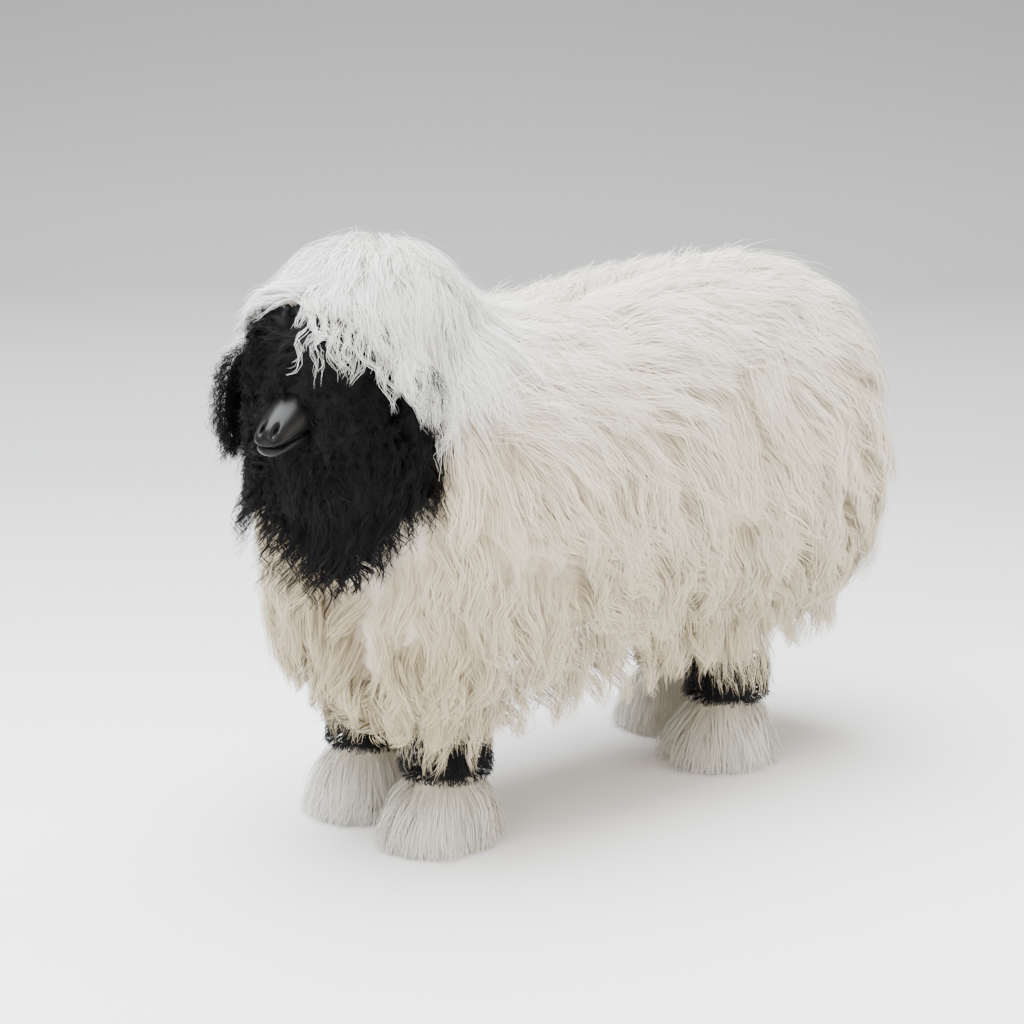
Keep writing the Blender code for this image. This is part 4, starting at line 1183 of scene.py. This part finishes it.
def beard(outline, on_face, material):
    """Longer wool below the face, down to the beard's edge."""

    def on_beard(points):
        return on_face(points) & (in_head(points)[:, 2] < -0.026) & (above_edge(points) > 0.012)

    coat = black_coat(
        length=0.046, length_vary=0.22, strands=8, rings=11, half_width=0.00016, tuft_spacing=0.0054,
        lock_spacing=0.009, wave=0.0016, wave_length=0.020, curl=0.0012, curl_length=0.0125,
        curl_vary=0.9, spread=0.0030, fine_wave=0.0005, gather=0.55, clump=0.45, loose=0.2, lift=0.002,
        fall_below=-0.22)
    return grow_coat("beard_coat", material, outline, head_map, coat, face_lie, seed=8, wanted=on_beard,
                     limit=lambda points: np.maximum(above_edge(points), 0.010))


def beard_curls(outline, on_face, material):
    """Loose curls that reach a little past the beard's edge."""

    def near_tips(points):
        local = in_head(points)
        low = (local[:, 2] < -0.030) & (above_edge(points) < 0.034)
        near_side = (local[:, 2] < -0.018) & (local[:, 1] > 0.056)
        return on_face(points) & (low | near_side)

    coat = black_coat(
        length=0.054, length_vary=0.36, strands=7, rings=18, half_width=0.00025, tuft_spacing=0.0056,
        lock_spacing=0.0070, wave=0.0014, wave_length=0.028, curl=0.0034, curl_length=0.023,
        curl_vary=0.18, spread=0.0010, fine_wave=0.0002, gather=0.20, clump=0.55, clump_power=0.8,
        loose=0.06, lift=0.006, turn=0.18, fall_below=-0.05)
    return grow_coat("beard_curls", material, outline, head_map, coat, face_lie, seed=9, wanted=near_tips,
                     limit=lambda points: np.clip(above_edge(points), 0.002, 0.040) + 0.015)


def face(outline, whites, material):
    """All black wool of the face; it keeps clear of the white wool."""

    def on_face(points):
        under_forelock = np.abs(in_head(points)[:, 1] - 0.024) < 0.020
        reach = np.where(under_forelock, 0.009, 0.002)
        return (border(points) < reach) & off_muzzle(points) & ~whites.inside(points, 0.014)

    made = face_wool(outline, on_face, material)
    made += beard(outline, on_face, material)
    return made + beard_curls(outline, on_face, material)


def ear(side, material):
    """Curly wool all round a hanging ear, no longer than down to its tip."""

    def limit(points):
        return np.maximum(in_head(points)[:, 2] + 0.056, 0.006) * 1.1

    outline = Surface(ellipsoid("form", ear_matrix(side), Vector(), EAR_RADII, sides=32, rows=19))
    coat = Coat(
        length=0.024, length_vary=0.25, strands=8, rings=11, depth=EAR_DEPTH, tuft_spacing=0.0042,
        lock_spacing=0.009, wave=0.0010, wave_length=0.012, curl=0.0015, curl_length=0.0085,
        curl_vary=0.7, spread=0.0024, fine_wave=0.0004, lift_vary=0.0014, gather=0.3, clump=0.45,
        loose=0.25, half_width=0.00016, tip=0.35, sink=0.001, lift=0.002, turn=0.30)
    name = "ear_coat_left" if side > 0 else "ear_coat_right"
    return grow_coat(name, material, outline, head_map, coat, face_lie, seed=11 + side, limit=limit)


def leg_coat(part, label, material, profile, coat, seed, **chosen):
    """One of the three coats round a leg; the seed is that of the first leg."""
    x, y = LEG_PLACES[label]
    outline = Surface(column("form", x, y, profile))
    seed += list(LEG_PLACES).index(label)
    return grow_coat(f"{part}_{label}", material, outline, leg_map(x, y), coat, fall_lie, seed, **chosen)


def leg_shag(label, material):
    """Fleece that hangs over the top of a leg and ends on its ankle band."""
    profile = ((0.058, 0.032, 0.032, 0), (0.090, 0.034, 0.034, 0), (0.125, 0.042, 0.040, 0))
    coat = Coat(
        length=0.050, length_vary=0.22, strands=7, rings=8, depth=0.010, tuft_spacing=0.0064,
        lock_spacing=0.012, wave=0.0014, wave_length=0.02, spread=0.003, clump=0.6, half_width=0.00015,
        lift=0.002)
    return leg_coat("leg_coat", label, material, profile, coat, seed=20,
                    wanted=lambda points: between(points, *SHAG_SPAN),
                    limit=lambda points: points[:, 2] - SHAG_END)


def ankle_band(label, material):
    """Dense black wool, cut straight at its lower edge."""
    low, high = CUFF_SPAN
    profile = ((low - 0.006, CUFF_REACH, CUFF_REACH, 0), (high + 0.004, CUFF_REACH, CUFF_REACH, 0))
    coat = Coat(
        length=0.012, strands=9, rings=6, depth=0.0080, rise=0.35, tuft_spacing=0.0038,
        lock_spacing=0.008, wave=0.0004, wave_length=0.008, curl=0.0006, curl_length=0.007,
        spread=0.0026, fine_wave=0.0003, lift_vary=0.0005, gather=0.1, clump=0.0, loose=0.05,
        half_width=0.00022, tip=0.6, sink=0.0)
    return leg_coat("cuff_coat", label, material, profile, coat, seed=40, shorter=True,
                    wanted=lambda points: between(points, low + 0.002, high + 0.003),
                    limit=lambda points: np.maximum(points[:, 2] - low, 0.003))


def foot_brush(label, material):
    """Straight hair that spreads from the ankle to the floor, like a round brush."""
    profile = catmull((
        (-0.004, SOLE_RADII[0] + 0.001, SOLE_RADII[1] + 0.001, SOLE_FORWARD),
        (0.012, 0.0405, 0.0370, SOLE_FORWARD),
        (0.028, 0.0360, 0.0340, SOLE_FORWARD * 0.6),
        (0.042, 0.0300, 0.0295, SOLE_FORWARD * 0.2),
        (0.052, FOOT_TOP_RADIUS, FOOT_TOP_RADIUS, 0),
    ), 14)
    coat = Coat(
        length=0.060, strands=12, rings=6, depth=0.006, rise=0.30, tuft_spacing=0.0046,
        lock_spacing=0.013, wave=0.0014, wave_length=0.05, spread=0.0052, fine_wave=0.0005,
        lift_vary=0.0020, gather=0.12, clump=0.0, turn=0.12, tuft_turn=0.12, tip=0.5, sink=0.001,
        loose=0.25, half_width=0.00014, lean=0.06, length_vary=0.06)
    return leg_coat("foot_coat", label, material, profile, coat, seed=60, shorter=True, floor=0.0004,
                    wanted=lambda points: between(points, 0.006, 0.050),
                    limit=lambda points: points[:, 2] * 1.10)


# Stage, camera and lights

def stage():
    """Floor that curves up into a backdrop, with painted falloff of light that darkens them further
    behind the figure.
    """
    bend = [(BACKDROP_FOOT + BACKDROP_BEND * math.sin(a), BACKDROP_BEND * (1 - math.cos(a)))
            for a in np.linspace(0, math.pi / 2, 24)]
    profile = [(FLOOR_NEAR, 0.0), *bend, (BACKDROP_FOOT + BACKDROP_BEND, BACKDROP_TOP)]
    verts = [Vector((reach, half, height))
             for reach, height in profile for half in (-FLOOR_HALF, FLOOR_HALF)]
    faces = [(2 * i, 2 * i + 1, 2 * i + 3, 2 * i + 2) for i in range(len(profile) - 1)]
    floor = mesh_object("floor", verts, faces)
    floor.rotation_euler.z = CAMERA_AZIMUTH + math.pi
    mat, nodes, links, shader = principled("floor_painted_falloff", roughness=0.75, specular=0.3)
    # Painted falloff of light: darker with distance behind the figure, in the floor's cool tint
    stops = [(reach, tuple(tone * part for part in FLOOR_TINT)) for reach, tone in FLOOR_PAINTED_FALLOFF]
    links.new(by_place(nodes, links, "X", stops), shader.inputs["Base Color"])
    finished(floor, mat)


def camera():
    level = math.cos(CAMERA_HEIGHT)
    back = Vector((math.cos(CAMERA_AZIMUTH) * level, math.sin(CAMERA_AZIMUTH) * level,
                   math.sin(CAMERA_HEIGHT)))
    data = bpy.data.cameras.new("camera")
    data.lens = CAMERA_LENS
    data.sensor_width = CAMERA_SENSOR
    obj = linked("camera", data)
    obj.location = CAMERA_TARGET + back * CAMERA_REACH
    obj.rotation_euler = (-back).to_track_quat("-Z", "Y").to_euler()
    bpy.context.scene.camera = obj


def area_light(name, place, power, size, colour):
    """A square light that looks at the middle of the figure."""
    data = bpy.data.lights.new(name, "AREA")
    data.energy = power
    data.size = size
    data.color = colour
    obj = linked(name, data)
    obj.location = place
    aim = Vector((0, 0, 0.2)) - obj.location
    obj.rotation_euler = aim.to_track_quat("-Z", "Y").to_euler()


def lights():
    """Cool soft light from above and warm fill all round, so that shadows turn warm."""
    world = bpy.data.worlds.new("studio")
    world.use_nodes = True
    shader = world.node_tree.nodes["Background"]
    shader.inputs["Color"].default_value = (1.0, 0.915, 0.78, 1)
    shader.inputs["Strength"].default_value = 1.35
    bpy.context.scene.world = world
    area_light("top", (0.1, -0.45, 2.2), power=240, size=2.2, colour=COOL_LIGHT)
    area_light("front", (1.9, 0.5, 1.5), power=18, size=1.0, colour=COOL_LIGHT)
    area_light("side", (-1.1, 1.7, 1.0), power=17, size=1.4, colour=WARM_LIGHT)


# The whole figure

def figure_skin(black):
    """The skin, which stands for every solid but the muzzle."""
    skin = skin_object(black)
    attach(skin, "root")
    nodes = ["torso", "neck", "crown", "head", "ear_left", "ear_right", "tail"]
    nodes += [f"{part}_{label}" for part in ("leg", "cuff", "foot") for label in LEG_PLACES]
    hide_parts(*nodes)


def figure_muzzle():
    muzzle = muzzle_object()
    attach(muzzle, "root")
    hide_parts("muzzle")


def figure_coats(black_outline, white, crown_white, brush_white, black):
    body_outline = white_outline()
    over_head = head_outline()
    whites = fleece(body_outline, black_outline, white)
    whites += crown(over_head, crown_white) + forelock(over_head, crown_white)
    blacks = face(black_outline, body_outline, black) + ear(1, black) + ear(-1, black)
    for label in LEG_PLACES:
        whites += leg_shag(label, white)
        blacks += ankle_band(label, black)
        whites += foot_brush(label, brush_white)


def main():
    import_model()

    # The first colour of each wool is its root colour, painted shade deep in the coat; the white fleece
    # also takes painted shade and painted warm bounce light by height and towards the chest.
    white = wool("white_wool", (0.76, 0.67, 0.53), (0.85, 0.805, 0.71), (0.95, 0.93, 0.89),
                 painted_height_shade=FLEECE_PAINTED_SHADE, painted_chest_shade=CHEST_PAINTED_SHADE)
    crown_white = wool("crown_wool", (0.82, 0.81, 0.79), (0.83, 0.825, 0.81), (0.88, 0.88, 0.87))
    # The feet's wool is darker than the fleece: painted shade low down by the floor, with a darker root
    # colour as painted shade between the strands.
    brush_white = wool("brush_wool", (0.56, 0.53, 0.45), (0.66, 0.63, 0.55), (0.85, 0.84, 0.80),
                       roughness=0.55)
    black = wool("black_wool", (0.0015, 0.0015, 0.0015), (0.002, 0.002, 0.0025), (0.007, 0.0067, 0.008),
                 roughness=0.45, specular=0.10, sheen=0.0)
    black_outline = Surface(face_form())
    figure_skin(black_outline)
    figure_muzzle()
    figure_coats(black_outline, white, crown_white, brush_white, black)
    stage()
    camera()
    lights()


main()
